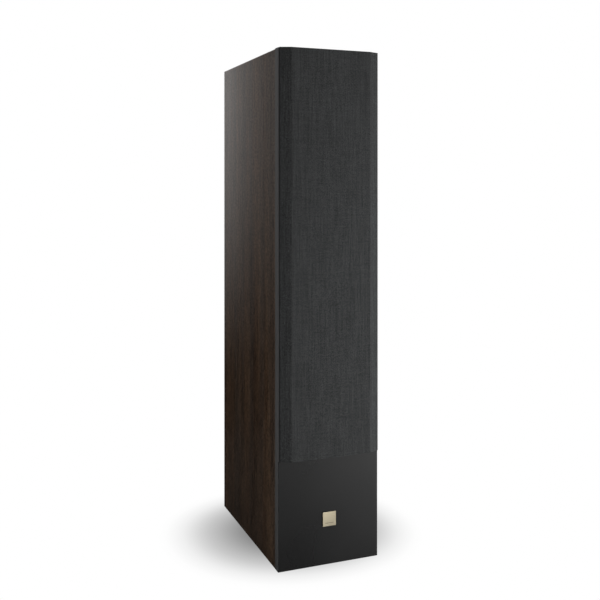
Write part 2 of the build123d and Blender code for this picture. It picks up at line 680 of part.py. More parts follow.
def cone_front_depth(size, radius):
    """Depth of the cone's front at a radius."""
    points = cone_front_points(size)
    (centre_r, centre_depth), arc_r = circle_through(*points)
    side = 1.0 if points[1][1] > centre_depth else -1.0
    return centre_depth + side * math.sqrt(arc_r**2 - (radius - centre_r) ** 2)


def make_dust_cap(name, z, size):
    """Shallow spherical dome glued to the cone."""
    rise, thickness = 11.0, 1.0
    rim_r = size.cap_r
    rim_depth = cone_front_depth(size, rim_r) - 0.05
    peak = rim_depth - rise
    ball_r = ball_radius(rim_r, rise)
    centre = peak + ball_r
    inner_ball_r = ball_r - thickness
    inner_rim_r = math.sqrt(inner_ball_r**2 - (centre - rim_depth) ** 2)
    with BuildPart() as dust_cap:
        with BuildSketch(disc_plane(z)):
            with BuildLine():
                ThreePointArc((0, peak), (rim_r / 2, ball_depth(rim_r / 2, ball_r, centre)),
                              (rim_r, rim_depth))
                Line((rim_r, rim_depth), (inner_rim_r, rim_depth))
                ThreePointArc((inner_rim_r, rim_depth),
                              (inner_rim_r / 2,
                               ball_depth(inner_rim_r / 2, inner_ball_r, centre)),
                              (0, peak + thickness))
                Line((0, peak + thickness), (0, peak))
            make_face()
        revolve(axis=y_axis(0, z))
    save(name, dust_cap)


def make_phase_plug(name, z, size):
    """Pointed plug on the pole, standing still inside the moving former."""
    plug_r = size.coil_r - 1.2
    tip, shoulder, back = 4.5, 19.0, size.plate_depth - 1
    with BuildPart() as phase_plug:
        with BuildSketch(disc_plane(z)):
            with BuildLine():
                Polyline((0, back), (plug_r, back), (plug_r, shoulder))
                Spline((plug_r, shoulder), (plug_r * 0.66, 9.2), (0, tip),
                       tangents=((0, -1), (-1, 0)))
                Line((0, tip), (0, back))
            make_face()
        revolve(axis=y_axis(0, z))
    save(name, phase_plug)


def make_surround(name, z, size):
    """Half roll of rubber between the cone's rim and the basket's step."""
    inner, outer = size.roll_inner_r, size.roll_outer_r
    middle, roll_r = (inner + outer) / 2, (outer - inner) / 2
    thickness = 0.8
    crest = SEAT_DEPTH - roll_r
    lip_front = SEAT_DEPTH - thickness
    lip_r = size.step_r - 0.3
    with BuildPart() as surround:
        with BuildSketch(disc_plane(z)):
            with BuildLine():
                Polyline((inner - 3.5, 3.2), (inner, SEAT_DEPTH))
                ThreePointArc((inner, SEAT_DEPTH), (middle, crest), (outer, lip_front))
                Polyline((outer, lip_front), (lip_r, lip_front), (lip_r, SEAT_DEPTH),
                         (outer - thickness, SEAT_DEPTH))
                ThreePointArc((outer - thickness, SEAT_DEPTH), (middle, crest + thickness),
                              (inner + thickness, 3.95))
                Polyline((inner + thickness, 3.95), (inner - 0.1, 3.98), (inner - 3.5, 4.6),
                         (inner - 3.5, 3.2))
            make_face()
        revolve(axis=y_axis(0, z))
    save(name, surround)


def make_spider(name, z, size):
    """Corrugated cloth disc that centres the coil, glued to the basket's ledge."""
    thickness, amplitude, folds = 0.6, 1.6, 10
    middle = size.ledge_depth - 2.6
    glued = size.ledge_depth - thickness
    inner_r = size.former_r + 0.05
    outer_r = size.wall_r(size.ledge_depth) - BASKET_WALL - 0.2
    waves_inner, waves_outer = inner_r + 2.5, size.ledge_r - 1.5
    front = [(inner_r, middle), (waves_inner, middle)]
    for i in range(folds):
        radius = waves_inner + (waves_outer - waves_inner) * (i + 0.5) / folds
        front.append((radius, middle + (amplitude if i % 2 else -amplitude)))
    front += [(waves_outer, middle), (size.ledge_r - 0.4, glued), (outer_r, glued)]
    back = [(radius, depth + thickness) for radius, depth in reversed(front)]
    save_turned(name, [(0, z)], front + back)


for prefix, z, size in CONE_DRIVERS:
    make_basket(f"{prefix}_basket", z, size)
    make_motor(f"{prefix}_motor", z, size)
    make_cone(f"{prefix}_cone", z, size)
    make_voice_coil(f"{prefix}_voice_coil", z, size)
    if size.cap_r:
        make_dust_cap(f"{prefix}_dust_cap", z, size)
    else:
        make_phase_plug(f"{prefix}_phase_plug", z, size)
    make_surround(f"{prefix}_surround", z, size)
    make_spider(f"{prefix}_spider", z, size)

# ---------------------------------------------------------------- tweeter
HORN_THROAT, HORN_MOUTH = (17.6, 7.2), (38, 0)     # radius, depth
with BuildPart() as tweeter_faceplate:
    with BuildSketch(disc_plane(TWEETER_Z)):
        with BuildLine():
            Polyline(HORN_MOUTH, (TWEETER_R - 0.5, 0), (TWEETER_R, 0.5), (TWEETER_R, FLANGE_T),
                     (36.5, FLANGE_T), (36.5, 9), (17.6, 9), HORN_THROAT)
            ThreePointArc(HORN_THROAT, (26.5, 3.0), HORN_MOUTH)
        make_face()
    revolve(axis=y_axis(0, TWEETER_Z))
    flange_screw_holes(TWEETER_Z, TWEETER_SCREW_R, 4)
save("tweeter_faceplate", tweeter_faceplate)

# Soft dome with its own small roll, moulded in one piece.
DOME_TOP, DOME_EDGE, DOME_RIM_R, DOME_T = 3.6, 8.2, 14.0, 0.4
ROLL_TOP, ROLL_BACK = 7.0, 9.0
dome_ball = ball_radius(DOME_RIM_R, DOME_EDGE - DOME_TOP)
dome_centre = DOME_TOP + dome_ball
inner_ball = dome_ball - DOME_T
inner_edge, inner_back = DOME_EDGE + DOME_T, ROLL_BACK + DOME_T
inner_rim_r = math.sqrt(inner_ball**2 - (dome_centre - inner_edge) ** 2)
with BuildPart() as tweeter_diaphragm:
    with BuildSketch(disc_plane(TWEETER_Z)):
        with BuildLine():
            ThreePointArc((0, DOME_TOP), (7.0, ball_depth(7.0, dome_ball, dome_centre)),
                          (DOME_RIM_R, DOME_EDGE))
            ThreePointArc((DOME_RIM_R, DOME_EDGE), (15.7, ROLL_TOP), (17.4, ROLL_BACK))
            Polyline((17.4, ROLL_BACK), (20.5, ROLL_BACK), (20.5, inner_back),
                     (17.0, inner_back))
            ThreePointArc((17.0, inner_back), (15.7, ROLL_TOP + DOME_T), (14.25, inner_edge))
            Line((14.25, inner_edge), (inner_rim_r, inner_edge))
            ThreePointArc((inner_rim_r, inner_edge),
                          (6.5, ball_depth(6.5, inner_ball, dome_centre)),
                          (0, DOME_TOP + DOME_T))
            Line((0, DOME_TOP + DOME_T), (0, DOME_TOP))
        make_face()
    revolve(axis=y_axis(0, TWEETER_Z))
save("tweeter_diaphragm", tweeter_diaphragm)

save_turned("tweeter_voice_coil", [(0, TWEETER_Z)], [
    (13.5, 8.65), (13.8, 8.65), (13.8, 11.0), (14.1, 11.0), (14.1, 13.6), (13.5, 13.6)])

# Motor: top plate, T-yoke and the sealed rear chamber behind it.
TWEETER_MAGNET_DEPTH, TWEETER_YOKE_DEPTH, CHAMBER_DEPTH = 14.4, 26.0, 31.0
TWEETER_TOP_PLATE = [(14.7, 9.4), (36, 9.4), (36, TWEETER_MAGNET_DEPTH),
                     (14.7, TWEETER_MAGNET_DEPTH)]
TWEETER_YOKE = [(4.0, 10.0), (12.9, 10.0), (12.9, TWEETER_YOKE_DEPTH),
                (36, TWEETER_YOKE_DEPTH), (36, CHAMBER_DEPTH), (4.0, CHAMBER_DEPTH)]
TWEETER_CHAMBER = [(30, CHAMBER_DEPTH), (30, 53), (28, 55), (0, 55), (0, 53), (27, 53),
                   (28, 52), (28, CHAMBER_DEPTH)]
save_turned("tweeter_motor", [(0, TWEETER_Z)], TWEETER_TOP_PLATE, TWEETER_YOKE,
            TWEETER_CHAMBER)

# Ferrite rings between each top plate and yoke.
magnet_rings = [           # z, inner radius, outer radius, front depth, thickness
    (z, size.coil_r + 9.0, size.magnet_r, size.magnet_depth, size.magnet_t)
    for _, z, size in CONE_DRIVERS]
magnet_rings.append((TWEETER_Z, 18.0, 35.0, TWEETER_MAGNET_DEPTH,
                     TWEETER_YOKE_DEPTH - TWEETER_MAGNET_DEPTH))
with BuildPart() as driver_magnets:
    for z, inner_r, outer_r, depth, thickness in magnet_rings:
        with BuildSketch(front_plane(FRONT + depth, z)):
            Circle(outer_r)
            Circle(inner_r, mode=Mode.SUBTRACT)
        extrude(amount=-thickness)
    chamfer(driver_magnets.edges().filter_by(GeomType.CIRCLE), length=0.8)
save("driver_magnets", driver_magnets)

# ---------------------------------------------------------------- grille
# Cloth over a frame with moulded pegs. A "stand" is a distance in front of the baffle.
GRILLE_Z0, GRILLE_Z1 = 240.5, HEIGHT
GRILLE_MID_Z = (GRILLE_Z0 + GRILLE_Z1) / 2
GRILLE_HALF = 118.0        # half width
FACE_STAND = 15.5          # the cloth's flat face
EDGE_STAND = 6.0           # the long edges
BEVEL_X = 94.5             # where the long bevel meets the flat face
CLOTH_T = 0.7
HEM_STAND = 0.3            # air between the cloth's hem and the baffle
FRAME_STAND = HEM_STAND + CLOTH_T         # the frame's back face, over the hem
FRAME_Z0, FRAME_Z1 = GRILLE_Z0 + CLOTH_T, GRILLE_Z1 - CLOTH_T


def grille_section(half_width, back, edge, face_x, face):
    """Closed horizontal section of (x, y) points; back, edge and face are stands."""
    return [(x, FRONT - stand) for x, stand in (
        (-half_width, back), (-half_width, edge), (-face_x, face), (face_x, face),
        (half_width, edge), (half_width, back), (-half_width, back))]


bevel = math.atan2(FACE_STAND - EDGE_STAND, GRILLE_HALF - BEVEL_X)
inset_x = CLOTH_T * math.sin(bevel)       # how the bevel moves in by the cloth
inset_stand = CLOTH_T * math.cos(bevel)
frame_half = GRILLE_HALF - CLOTH_T
outer_section = grille_section(GRILLE_HALF, HEM_STAND, EDGE_STAND, BEVEL_X, FACE_STAND)
frame_section = grille_section(
    frame_half, FRAME_STAND,
    EDGE_STAND - inset_stand + (GRILLE_HALF - inset_x - frame_half) * math.tan(bevel),
    BEVEL_X - inset_x - (inset_stand - CLOTH_T) / math.tan(bevel),
    FACE_STAND - CLOTH_T)

with BuildPart() as grille_fabric:
    with BuildSketch(Plane.XY.offset(GRILLE_Z0)):
        with BuildLine():
            Polyline(*outer_section)
        make_face()
    extrude(amount=GRILLE_Z1 - GRILLE_Z0)
    with BuildSketch(Plane.XY.offset(FRAME_Z0)):
        with BuildLine():
            Polyline(*frame_section)
        make_face()
    extrude(amount=FRAME_Z1 - FRAME_Z0, mode=Mode.SUBTRACT)
    # the hem is a border glued to the frame's back
    with BuildSketch(front_plane(FRONT - HEM_STAND, GRILLE_MID_Z)):
        RectangleRounded(2 * GRILLE_HALF - 28, GRILLE_Z1 - GRILLE_Z0 - 24, 4)
    extrude(amount=CLOTH_T, mode=Mode.SUBTRACT)
    with Locations(*[front_plane(FRONT - FRAME_STAND, z, x) for x, z in PEG_PLACES]):
        Hole(radius=3.3, depth=CLOTH_T)
save("grille_fabric", grille_fabric)

OPENING_Z0, OPENING_Z1 = 256.0, 1123.0
CROSSBAR_Z = (545.0, 783.0, 964.0)
CROSSBAR_STAND = 8.0       # front of the crossbars
PEG_ROOT = -FRAME_STAND - 1.0
PEG_PROFILE = (            # radius, depth; waisted so that the pegs click into the sockets
    (0, PEG_ROOT), (3.2, PEG_ROOT), (3.2, 0.6), (2.6, 2.0), (2.6, 5.0), (3.0, 6.5),
    (3.0, 9.0), (1.6, 11.0), (0, 11.0), (0, PEG_ROOT))
with BuildPart() as grille_frame:
    with BuildSketch(Plane.XY.offset(FRAME_Z0)):
        with BuildLine():
            Polyline(*frame_section)
        make_face()
    extrude(amount=FRAME_Z1 - FRAME_Z0)
    with BuildSketch(front_plane(FRONT - FRAME_STAND, (OPENING_Z0 + OPENING_Z1) / 2)):
        RectangleRounded(200, OPENING_Z1 - OPENING_Z0, 10)
    extrude(amount=FACE_STAND, mode=Mode.SUBTRACT)
    with Locations(*[(0, FRONT - (FRAME_STAND + CROSSBAR_STAND) / 2, z) for z in CROSSBAR_Z]):
        Box(204, CROSSBAR_STAND - FRAME_STAND, 12)
    for x, z in PEG_PLACES:
        with BuildSketch(disc_plane(z, x=x)):
            with BuildLine():
                Polyline(*PEG_PROFILE)
            make_face()
        revolve(axis=y_axis(x, z))
save("grille_frame", grille_frame)

# Rubber sockets pressed into the baffle.
save_turned("grille_sockets", PEG_PLACES, [
    (3.6, 0.0), (SOCKET_R, 0.0), (SOCKET_R, 13.0), (0, 13.0), (0, 11.8), (3.1, 11.8),
    (3.1, 1.0)])

# ---------------------------------------------------------------- badge
# A plain brushed plate with one engraved line.
BADGE_Z, BADGE_SIDE, BADGE_T = 101.0, 31.6, 3.0
with BuildPart() as badge:
    with BuildSketch(front_plane(FRONT, BADGE_Z)):
        RectangleRounded(BADGE_SIDE, BADGE_SIDE, 0.6)
    extrude(amount=BADGE_T)
    chamfer(badge.faces().sort_by(Axis.Y)[0].edges(), length=0.45)
    with BuildSketch(front_plane(FRONT - BADGE_T, BADGE_Z - 8.6)):
        SlotOverall(20, 1.1)
    extrude(amount=-0.35, mode=Mode.SUBTRACT)
save("badge", badge)

# ---------------------------------------------------------------- screws
# One pattern, with hex socket button heads. Each seats under its head at seat_y, and the
# head faces along Y in the direction facing.
DRIVER_SEAT_Y = FRONT + SCREW_SINK
REAR_SEAT_Y = REAR_Y + REAR_FLANGE_T
HEAD_H = 2.4
screw_circles = [          # centre z, seat_y, circle radius, count, facing
    (z, DRIVER_SEAT_Y, size.screw_r, size.screw_count, -1) for _, z, size in CONE_DRIVERS]
screw_circles.append((TWEETER_Z, DRIVER_SEAT_Y, TWEETER_SCREW_R, 4, -1))
screw_circles += [(z, REAR_SEAT_Y, PORT_SCREW_R, 4, 1) for z in PORT_Z]

screw_places = []          # x, seat_y, z, facing
for centre_z, seat_y, radius, count, facing in screw_circles:
    for i in range(count):
        angle = math.radians((180 + 360 * i) / count)
        screw_places.append((radius * math.cos(angle), seat_y,
                             centre_z + radius * math.sin(angle), facing))
for x in (-CUP_SCREW_DX / 2, CUP_SCREW_DX / 2):
    for dz in (-CUP_SCREW_DZ / 2, CUP_SCREW_DZ / 2):
        screw_places.append((x, REAR_SEAT_Y, TERMINAL_Z + dz, 1))

with BuildPart() as chassis_screws:
    for x, y, z, facing in screw_places:
        with BuildSketch(Plane(origin=(x, y, z), x_dir=(1, 0, 0), z_dir=(0, 0, facing))):
            with BuildLine():
                Polyline((0, -14.0), (1.2, -14.0), (2.2, -12.0), (2.2, 0), (4.1, 0), (4.1, 0.8))
                ThreePointArc((4.1, 0.8), (3.3, 1.9), (1.6, HEAD_H))
                Polyline((1.6, HEAD_H), (0, HEAD_H), (0, -14.0))
            make_face()
        revolve(axis=y_axis(x, z))
        seat = Plane(origin=(x, y, z), x_dir=(1, 0, 0), z_dir=(0, facing, 0))
        with BuildSketch(seat.offset(HEAD_H)):
            RegularPolygon(radius=1.25, side_count=6, major_radius=False)
        extrude(amount=-1.6, mode=Mode.SUBTRACT)
save("chassis_screws", chassis_screws)

# ---------------------------------------------------------------- internal cables
CABLE_R, CABLE_BEND_R = 1.8, 9.0
BLOCK_Y, BLOCK_Z = 58.5, 34        # where the cables leave the crossover's terminal block
STUD_END_Y = 165.5                 # where they meet the binding posts
DRIVER_CABLES = (                  # x and z of the run, its front y; driver's z, tag radius, depth
    (60, 300, -152, WOOFER_LOW_Z, 84.0, 54.0),
    (68, 575, -152, WOOFER_UP_Z, 84.0, 54.0),
    (*MID_CABLE, -164, MID_Z, 68.0, 42.0),
    (*TWEETER_CABLE, -162, TWEETER_Z, 32.5, 44.0),
)
POST_CABLES = (                    # x at the block, y of the climb, post's x, post's z
    (-75, 120, -POST_X, TERMINAL_Z - POST_DZ),
    (-60, 100, -POST_X, TERMINAL_Z + POST_DZ),
    (10, 120, POST_X, TERMINAL_Z - POST_DZ),
    (30, 100, POST_X, TERMINAL_Z + POST_DZ),
)
cable_paths = []
for x, run_z, front_y, driver_z, tag_r, tag_depth in DRIVER_CABLES:
    # the last point is on the lower right of the driver
    cable_paths.append([
        (x, BLOCK_Y, BLOCK_Z), (x, CABLE_Y, BLOCK_Z), (x, CABLE_Y, run_z), (x, front_y, run_z),
        (0.6 * tag_r, FRONT + tag_depth, driver_z - 0.8 * tag_r)])
for x, climb_y, post_x, post_z in POST_CABLES:
    cable_paths.append([
        (x, BLOCK_Y, BLOCK_Z), (x, climb_y, BLOCK_Z), (post_x, climb_y, 90),
        (post_x, climb_y, post_z), (post_x, STUD_END_Y, post_z)])

with BuildPart() as internal_cables:
    for path in cable_paths:
        with BuildLine() as run:
            FilletPolyline(*path, radius=CABLE_BEND_R)
        with BuildSketch(Plane(origin=path[0], z_dir=(0, 1, 0))):
            Circle(CABLE_R)
        sweep(path=run.wires()[0])
save("internal_cables", internal_cables)
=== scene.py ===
import json
import math

import bmesh
import bpy
import numpy as np
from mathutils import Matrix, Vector

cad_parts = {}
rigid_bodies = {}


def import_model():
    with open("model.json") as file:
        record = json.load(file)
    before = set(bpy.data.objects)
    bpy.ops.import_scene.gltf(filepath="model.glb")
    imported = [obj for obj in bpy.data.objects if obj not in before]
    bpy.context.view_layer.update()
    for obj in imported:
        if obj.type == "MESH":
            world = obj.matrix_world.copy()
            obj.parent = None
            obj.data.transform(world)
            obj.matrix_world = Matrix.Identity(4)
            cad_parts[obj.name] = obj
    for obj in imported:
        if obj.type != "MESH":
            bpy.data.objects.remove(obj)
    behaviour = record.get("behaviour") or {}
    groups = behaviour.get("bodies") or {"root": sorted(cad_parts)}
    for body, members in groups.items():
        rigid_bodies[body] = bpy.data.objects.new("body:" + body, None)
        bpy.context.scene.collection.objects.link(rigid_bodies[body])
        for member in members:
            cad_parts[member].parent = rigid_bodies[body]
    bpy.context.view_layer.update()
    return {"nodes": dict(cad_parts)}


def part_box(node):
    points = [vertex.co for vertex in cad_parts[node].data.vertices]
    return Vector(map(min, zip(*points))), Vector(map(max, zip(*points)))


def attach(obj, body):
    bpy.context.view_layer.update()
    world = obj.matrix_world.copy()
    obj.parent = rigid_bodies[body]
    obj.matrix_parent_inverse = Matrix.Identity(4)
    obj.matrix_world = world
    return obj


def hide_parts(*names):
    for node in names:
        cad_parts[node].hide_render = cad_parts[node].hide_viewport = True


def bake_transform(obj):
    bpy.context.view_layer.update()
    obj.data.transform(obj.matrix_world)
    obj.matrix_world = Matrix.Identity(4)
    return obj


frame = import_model()

FRONT = -0.206  # y of the baffle's front face
MM = 0.001
DRIVERS = {
    "woofer_upper": 0.664,
    "woofer_lower": 0.426,
    "midrange": 0.880,
    "tweeter": 1.048,
}


# ------------------------------------------------------------------ procedural materials
class Tree:
    """A node tree, with short ways to add the nodes used here."""

    def __init__(self, nt, coordinates):
        self.nt = nt
        self.nt.nodes.clear()
        self.pos = self.nt.nodes.new("ShaderNodeTexCoord").outputs[coordinates]

    def node(self, kind, inputs, **props):
        n = self.nt.nodes.new(kind)
        for k, v in props.items():
            setattr(n, k, v)
        for k, v in inputs.items():
            self.put(n.inputs[k], v)
        return n

    def put(self, socket, value):
        if hasattr(value, "is_output") or isinstance(value, bpy.types.NodeSocket):
            self.nt.links.new(value, socket)
        elif isinstance(value, (tuple, list)) and len(value) == 3 and len(socket.default_value) == 4:
            socket.default_value = (*value, 1.0)
        else:
            socket.default_value = value

    def scaled(self, scale, offset=(0, 0, 0), vec=None):
        return self.node(
            "ShaderNodeMapping", {"Vector": vec or self.pos, "Scale": scale, "Location": offset}
        ).outputs[0]

    def noise(self, scale, stretch=(1, 1, 1), detail=2.0, rough=0.5, distort=0.0, offset=(0, 0, 0), vec=None):
        v = self.scaled(stretch, offset, vec)
        return self.node(
            "ShaderNodeTexNoise",
            {"Vector": v, "Scale": scale, "Detail": detail, "Roughness": rough, "Distortion": distort},
        ).outputs[0]

    def voronoi(self, scale, stretch=(1, 1, 1), feature="F1", out="Distance"):
        v = self.scaled(stretch)
        return self.node(
            "ShaderNodeTexVoronoi", {"Vector": v, "Scale": scale}, feature=feature
        ).outputs[out]

    def wave(self, scale, direction="X", distort=0.0, vec=None, profile="SIN"):
        return self.node(
            "ShaderNodeTexWave",
            {"Vector": vec or self.pos, "Scale": scale, "Distortion": distort, "Detail": 1.0},
            bands_direction=direction,
            wave_profile=profile,
        ).outputs["Fac"]

    def axis(self, name, vec=None):
        return self.node("ShaderNodeSeparateXYZ", {"Vector": vec or self.pos}).outputs[name]

    def math(self, op, a, b=0.0, clamp=False):
        n = self.node("ShaderNodeMath", {0: a, 1: b}, operation=op)
        n.use_clamp = clamp
        return n.outputs[0]

    def span(self, value, lo, hi, a=0.0, b=1.0, smooth=False):
        return self.node(
            "ShaderNodeMapRange",
            {"Value": value, "From Min": lo, "From Max": hi, "To Min": a, "To Max": b},
            interpolation_type="SMOOTHSTEP" if smooth else "LINEAR",
        ).outputs[0]

    def ramp(self, fac, *stops):
        n = self.node("ShaderNodeValToRGB", {"Fac": fac})
        e = n.color_ramp.elements
        while len(e) < len(stops):
            e.new(0.5)
        for el, (p, c) in zip(e, stops):
            el.position = p
            el.color = (*c, 1.0) if len(c) == 3 else c
        return n.outputs["Color"]

    def mix(self, fac, a, b, blend="MIX"):
        n = self.node("ShaderNodeMix", {}, data_type="RGBA", blend_type=blend)
        n.clamp_factor = True
        for i, v in ((0, fac), (6, a), (7, b)):
            self.put(n.inputs[i], v)
        return n.outputs[2]


class Graph(Tree):
    """A material. Vectors are object coordinates in metres."""

    def __init__(self, name):
        self.mat = bpy.data.materials.new(name)
        self.mat.use_nodes = True
        super().__init__(self.mat.node_tree, "Object")
        out = self.nt.nodes.new("ShaderNodeOutputMaterial")
        self.bsdf = self.nt.nodes.new("ShaderNodeBsdfPrincipled")
        self.nt.links.new(self.bsdf.outputs["BSDF"], out.inputs["Surface"])
        self.height = None

    def set(self, **inputs):
        for k, v in inputs.items():
            self.put(self.bsdf.inputs[k.replace("_", " ")], v)

    def bump(self, height, strength=0.3, distance=0.001):
        inputs = {"Height": height, "Strength": strength, "Distance": distance}
        if self.height is not None:
            inputs["Normal"] = self.height
        self.height = self.node("ShaderNodeBump", inputs).outputs[0]
        self.put(self.bsdf.inputs["Normal"], self.height)


def tint(c, k):
    return tuple(x * k for x in c)


def wood_vinyl(name, along, seed):
    """Dark walnut foil. Grain runs along the given axis: long soft streaks, finer figure, flecks and short pores."""
    g = Graph(name)

    def stretched(k):
        return (1, 1, k) if along == "Z" else (k, 1, 1)

    off = (seed * 3.1, seed * 1.7, seed * 2.3)
    warp = g.noise(1.6, (1, 1, 0.5), detail=1, offset=off)
    bent = g.node(
        "ShaderNodeVectorMath",
        {0: g.pos, 1: g.node("ShaderNodeCombineXYZ", {"X": g.span(warp, 0, 1, -0.012, 0.012), "Y": g.span(warp, 0, 1, -0.02, 0.02), "Z": g.span(warp, 0, 1, -0.012, 0.012)}).outputs[0]},
        operation="ADD",
    ).outputs[0]
    broad = g.noise(14, stretched(0.05), detail=3, rough=0.55, distort=0.4, offset=off, vec=bent)
    figure = g.noise(62, stretched(0.03), detail=3, rough=0.65, distort=0.2, offset=off, vec=bent)
    streak = g.noise(105, stretched(0.035), detail=3, rough=0.7, offset=tint(off, 1.3), vec=bent)
    fleck = g.noise(120, stretched(1.5), detail=1, rough=0.6, offset=tint(off, 0.7))
    dashes = g.noise(120, stretched(0.22), detail=1, rough=0.6, offset=tint(off, 2.1), vec=bent)
    pores = g.noise(620, stretched(0.02), detail=1, rough=0.5, offset=off, vec=bent)
    tone = g.math("ADD", g.math("MULTIPLY", broad, 0.45), g.math("MULTIPLY", figure, 0.55))
    color = g.ramp(
        tone,
        (0.36, (0.0585, 0.0337, 0.0210)),
        (0.46, (0.0714, 0.0433, 0.0276)),
        (0.54, (0.0843, 0.0529, 0.0345)),
        (0.64, (0.1036, 0.0678, 0.0446)),
    )
    # warm brown bands lie beside cooler, greyer ones
    band = g.noise(23, stretched(0.035), detail=2, rough=0.6, offset=tint(off, 1.9), vec=bent)
    hue = g.mix(g.span(band, 0.38, 0.62), (0.87, 0.94, 1.03), (1.16, 1.07, 0.94))
    color = g.mix(1.0, color, hue, "MULTIPLY")
    grain = g.math("MULTIPLY", g.span(streak, 0.36, 0.64, 0.84, 1.16), g.span(fleck, 0.30, 0.70, 0.62, 1.38))
    grain = g.math("MULTIPLY", grain, g.span(dashes, 0.36, 0.50, 0.66, 1.06))
    glint = g.math("MULTIPLY", g.span(fleck, 0.30, 0.70, 0.355, 0.515), g.span(streak, 0.36, 0.64, 0.93, 1.07))
    grain = g.math("MULTIPLY", grain, g.span(pores, 0.36, 0.44, 0.70, 1.0))
    if along == "Z":
        # painted light and shade: the foil is painted a little darker toward the rear edge than at the front, and
        # darker toward the bottom, standing in for how the light falls; its glint is also weaker toward the front
        grain = g.math("MULTIPLY", grain, g.span(g.axis("Y"), 0.20, -0.20, 1.05, 1.07))
        grain = g.math("MULTIPLY", grain, g.span(g.axis("Z"), 0.0, 0.30, 0.86, 1.0))
        glint = g.math("MULTIPLY", glint, g.span(g.axis("Y"), 0.10, -0.20, 1.0, 0.74))
    color = g.mix(1.0, color, g.node("ShaderNodeCombineColor", {0: grain, 1: grain, 2: grain}).outputs[0], "MULTIPLY")
    g.set(
        Base_Color=color,
        Roughness=g.span(g.math("ADD", g.math("MULTIPLY", figure, 0.6), g.math("MULTIPLY", pores, 0.4)), 0.35, 0.65, 0.27, 0.35),
        Specular_IOR_Level=glint,
    )
    g.bump(pores, 0.22, 0.0002)
    g.bump(figure, 0.10, 0.0006)
    return g.mat


def lacquer(name, color=(0.0044, 0.0044, 0.0045), rough=0.29, spec=0.5):
    """Satin paint over board. The board's cut side faces carry a painted highlight: a paler colour standing in for the
    light they catch, painted darker toward the bottom as painted shade, and widened above the grille's lower edge.
    """
    g = Graph(name)
    broad = g.noise(7, detail=0)
    front = g.mix(broad, tint(color, 0.95), tint(color, 1.05))
    fibre = g.noise(500, (1, 1, 0.25), detail=2)
    # painted shade on the side-face highlight: darker toward the bottom
    low = g.span(g.axis("Z"), 0.0, 0.36, 0.78, 1.0)
    edge = g.mix(fibre, tint((0.118, 0.118, 0.119), 0.96), tint((0.118, 0.118, 0.119), 1.04))
    edge = g.mix(1.0, edge, g.node("ShaderNodeCombineColor", {0: low, 1: low, 2: low}).outputs[0], "MULTIPLY")
    # painted highlight: a pale band on the baffle's side faces, wider above z 0.2405 where the grille covers the front
    side = g.math("ABSOLUTE", g.axis("X"))
    behind = g.math("GREATER_THAN", g.axis("Z"), 0.2405)
    rim = g.span(g.math("ADD", side, g.math("MULTIPLY", behind, 0.0022)), 0.1192, 0.1196, 0.0, 1.0)
    g.set(
        Base_Color=g.mix(rim, front, edge),
        Roughness=g.math("ADD", g.span(g.noise(9, detail=0), 0.3, 0.7, rough - 0.02, rough + 0.02), g.math("MULTIPLY", rim, 0.25)),
        Specular_IOR_Level=spec,
    )
    return g.mat


def grille_cloth(name):
    """Heathered acoustic cloth in plain weave. Each thread changes tone along its length, which shows as short upright slubs."""
    g = Graph(name)
    upright = g.noise(720, (1, 1, 0.02), detail=1, rough=0.5)
    across = g.noise(720, (0.03, 1, 1), detail=1, rough=0.5, offset=(2, 9, 4))
    grain = g.noise(600, detail=0, offset=(3, 5, 7))
    speck = g.noise(1000, detail=0, offset=(8, 1, 6))
    patch = g.noise(34, (1, 1, 0.3), detail=3, rough=0.6)
    pitch = 0.0011
    warp = g.wave(0.314 / pitch, "X", 0.4)
    weft = g.wave(0.314 / pitch, "Z", 0.4)
    value = g.math("ADD", g.math("MULTIPLY", upright, 0.20), g.math("MULTIPLY", across, 0.09))
    value = g.math("ADD", value, g.math("MULTIPLY", grain, 0.30))
    value = g.math("ADD", value, g.math("MULTIPLY", speck, 0.18))
    value = g.math("ADD", value, g.math("MULTIPLY", patch, 0.04))
    value = g.math("ADD", value, 0.095)
    weave = g.math("MAXIMUM", warp, weft)
    color = g.ramp(
        value,
        (0.385, (0.0050, 0.0053, 0.0054)),
        (0.500, (0.0221, 0.0231, 0.0235)),
        (0.615, (0.0440, 0.0456, 0.0464)),
    )
    shade = g.span(weave, 0.3, 1.0, 0.72, 1.08)
    # painted shade: the cloth is painted darker toward the top, where less light falls
    shade = g.math("MULTIPLY", shade, g.span(g.axis("Z"), 0.84, 1.13, 1.0, 0.90))
    # painted light and shade: both bevels are painted 6% lighter, as if they catch more light; the front is painted
    # darker toward the left, and the left bevel 10% lighter again
    shade = g.math("MULTIPLY", shade, g.span(g.math("ABSOLUTE", g.axis("X")), 0.0940, 0.0950, 1.0, 1.06))
    shade = g.math("MULTIPLY", shade, g.span(g.axis("X"), -0.0938, 0.02, 0.945, 1.0))
    shade = g.math("MULTIPLY", shade, g.span(g.axis("X"), -0.0950, -0.0940, 1.10, 1.0))
    color = g.mix(1.0, color, g.node("ShaderNodeCombineColor", {0: shade, 1: shade, 2: shade}).outputs[0], "MULTIPLY")
    g.set(
        Base_Color=color,
        Roughness=0.80,
        Specular_IOR_Level=0.30,
        Sheen_Weight=0.04,
        Sheen_Roughness=0.5,
    )
    g.bump(g.math("ADD", g.math("MULTIPLY", weave, 0.7), g.math("MULTIPLY", upright, 0.3)), 0.35, 0.0003)
    return g.mat


def plastic(name, color, rough=0.5, grain=900, depth=0.12, spec=0.45):
    """Moulded plastic with a fine spark-eroded texture."""
    g = Graph(name)
    tex = g.noise(grain, detail=3, rough=0.65)
    g.set(
        Base_Color=g.mix(g.noise(24, detail=3), tint(color, 0.88), tint(color, 1.12)),
        Roughness=g.span(tex, 0.3, 0.7, rough - 0.06, rough + 0.06),
        Specular_IOR_Level=spec,
    )
    g.bump(tex, depth, 0.0002)
    return g.mat


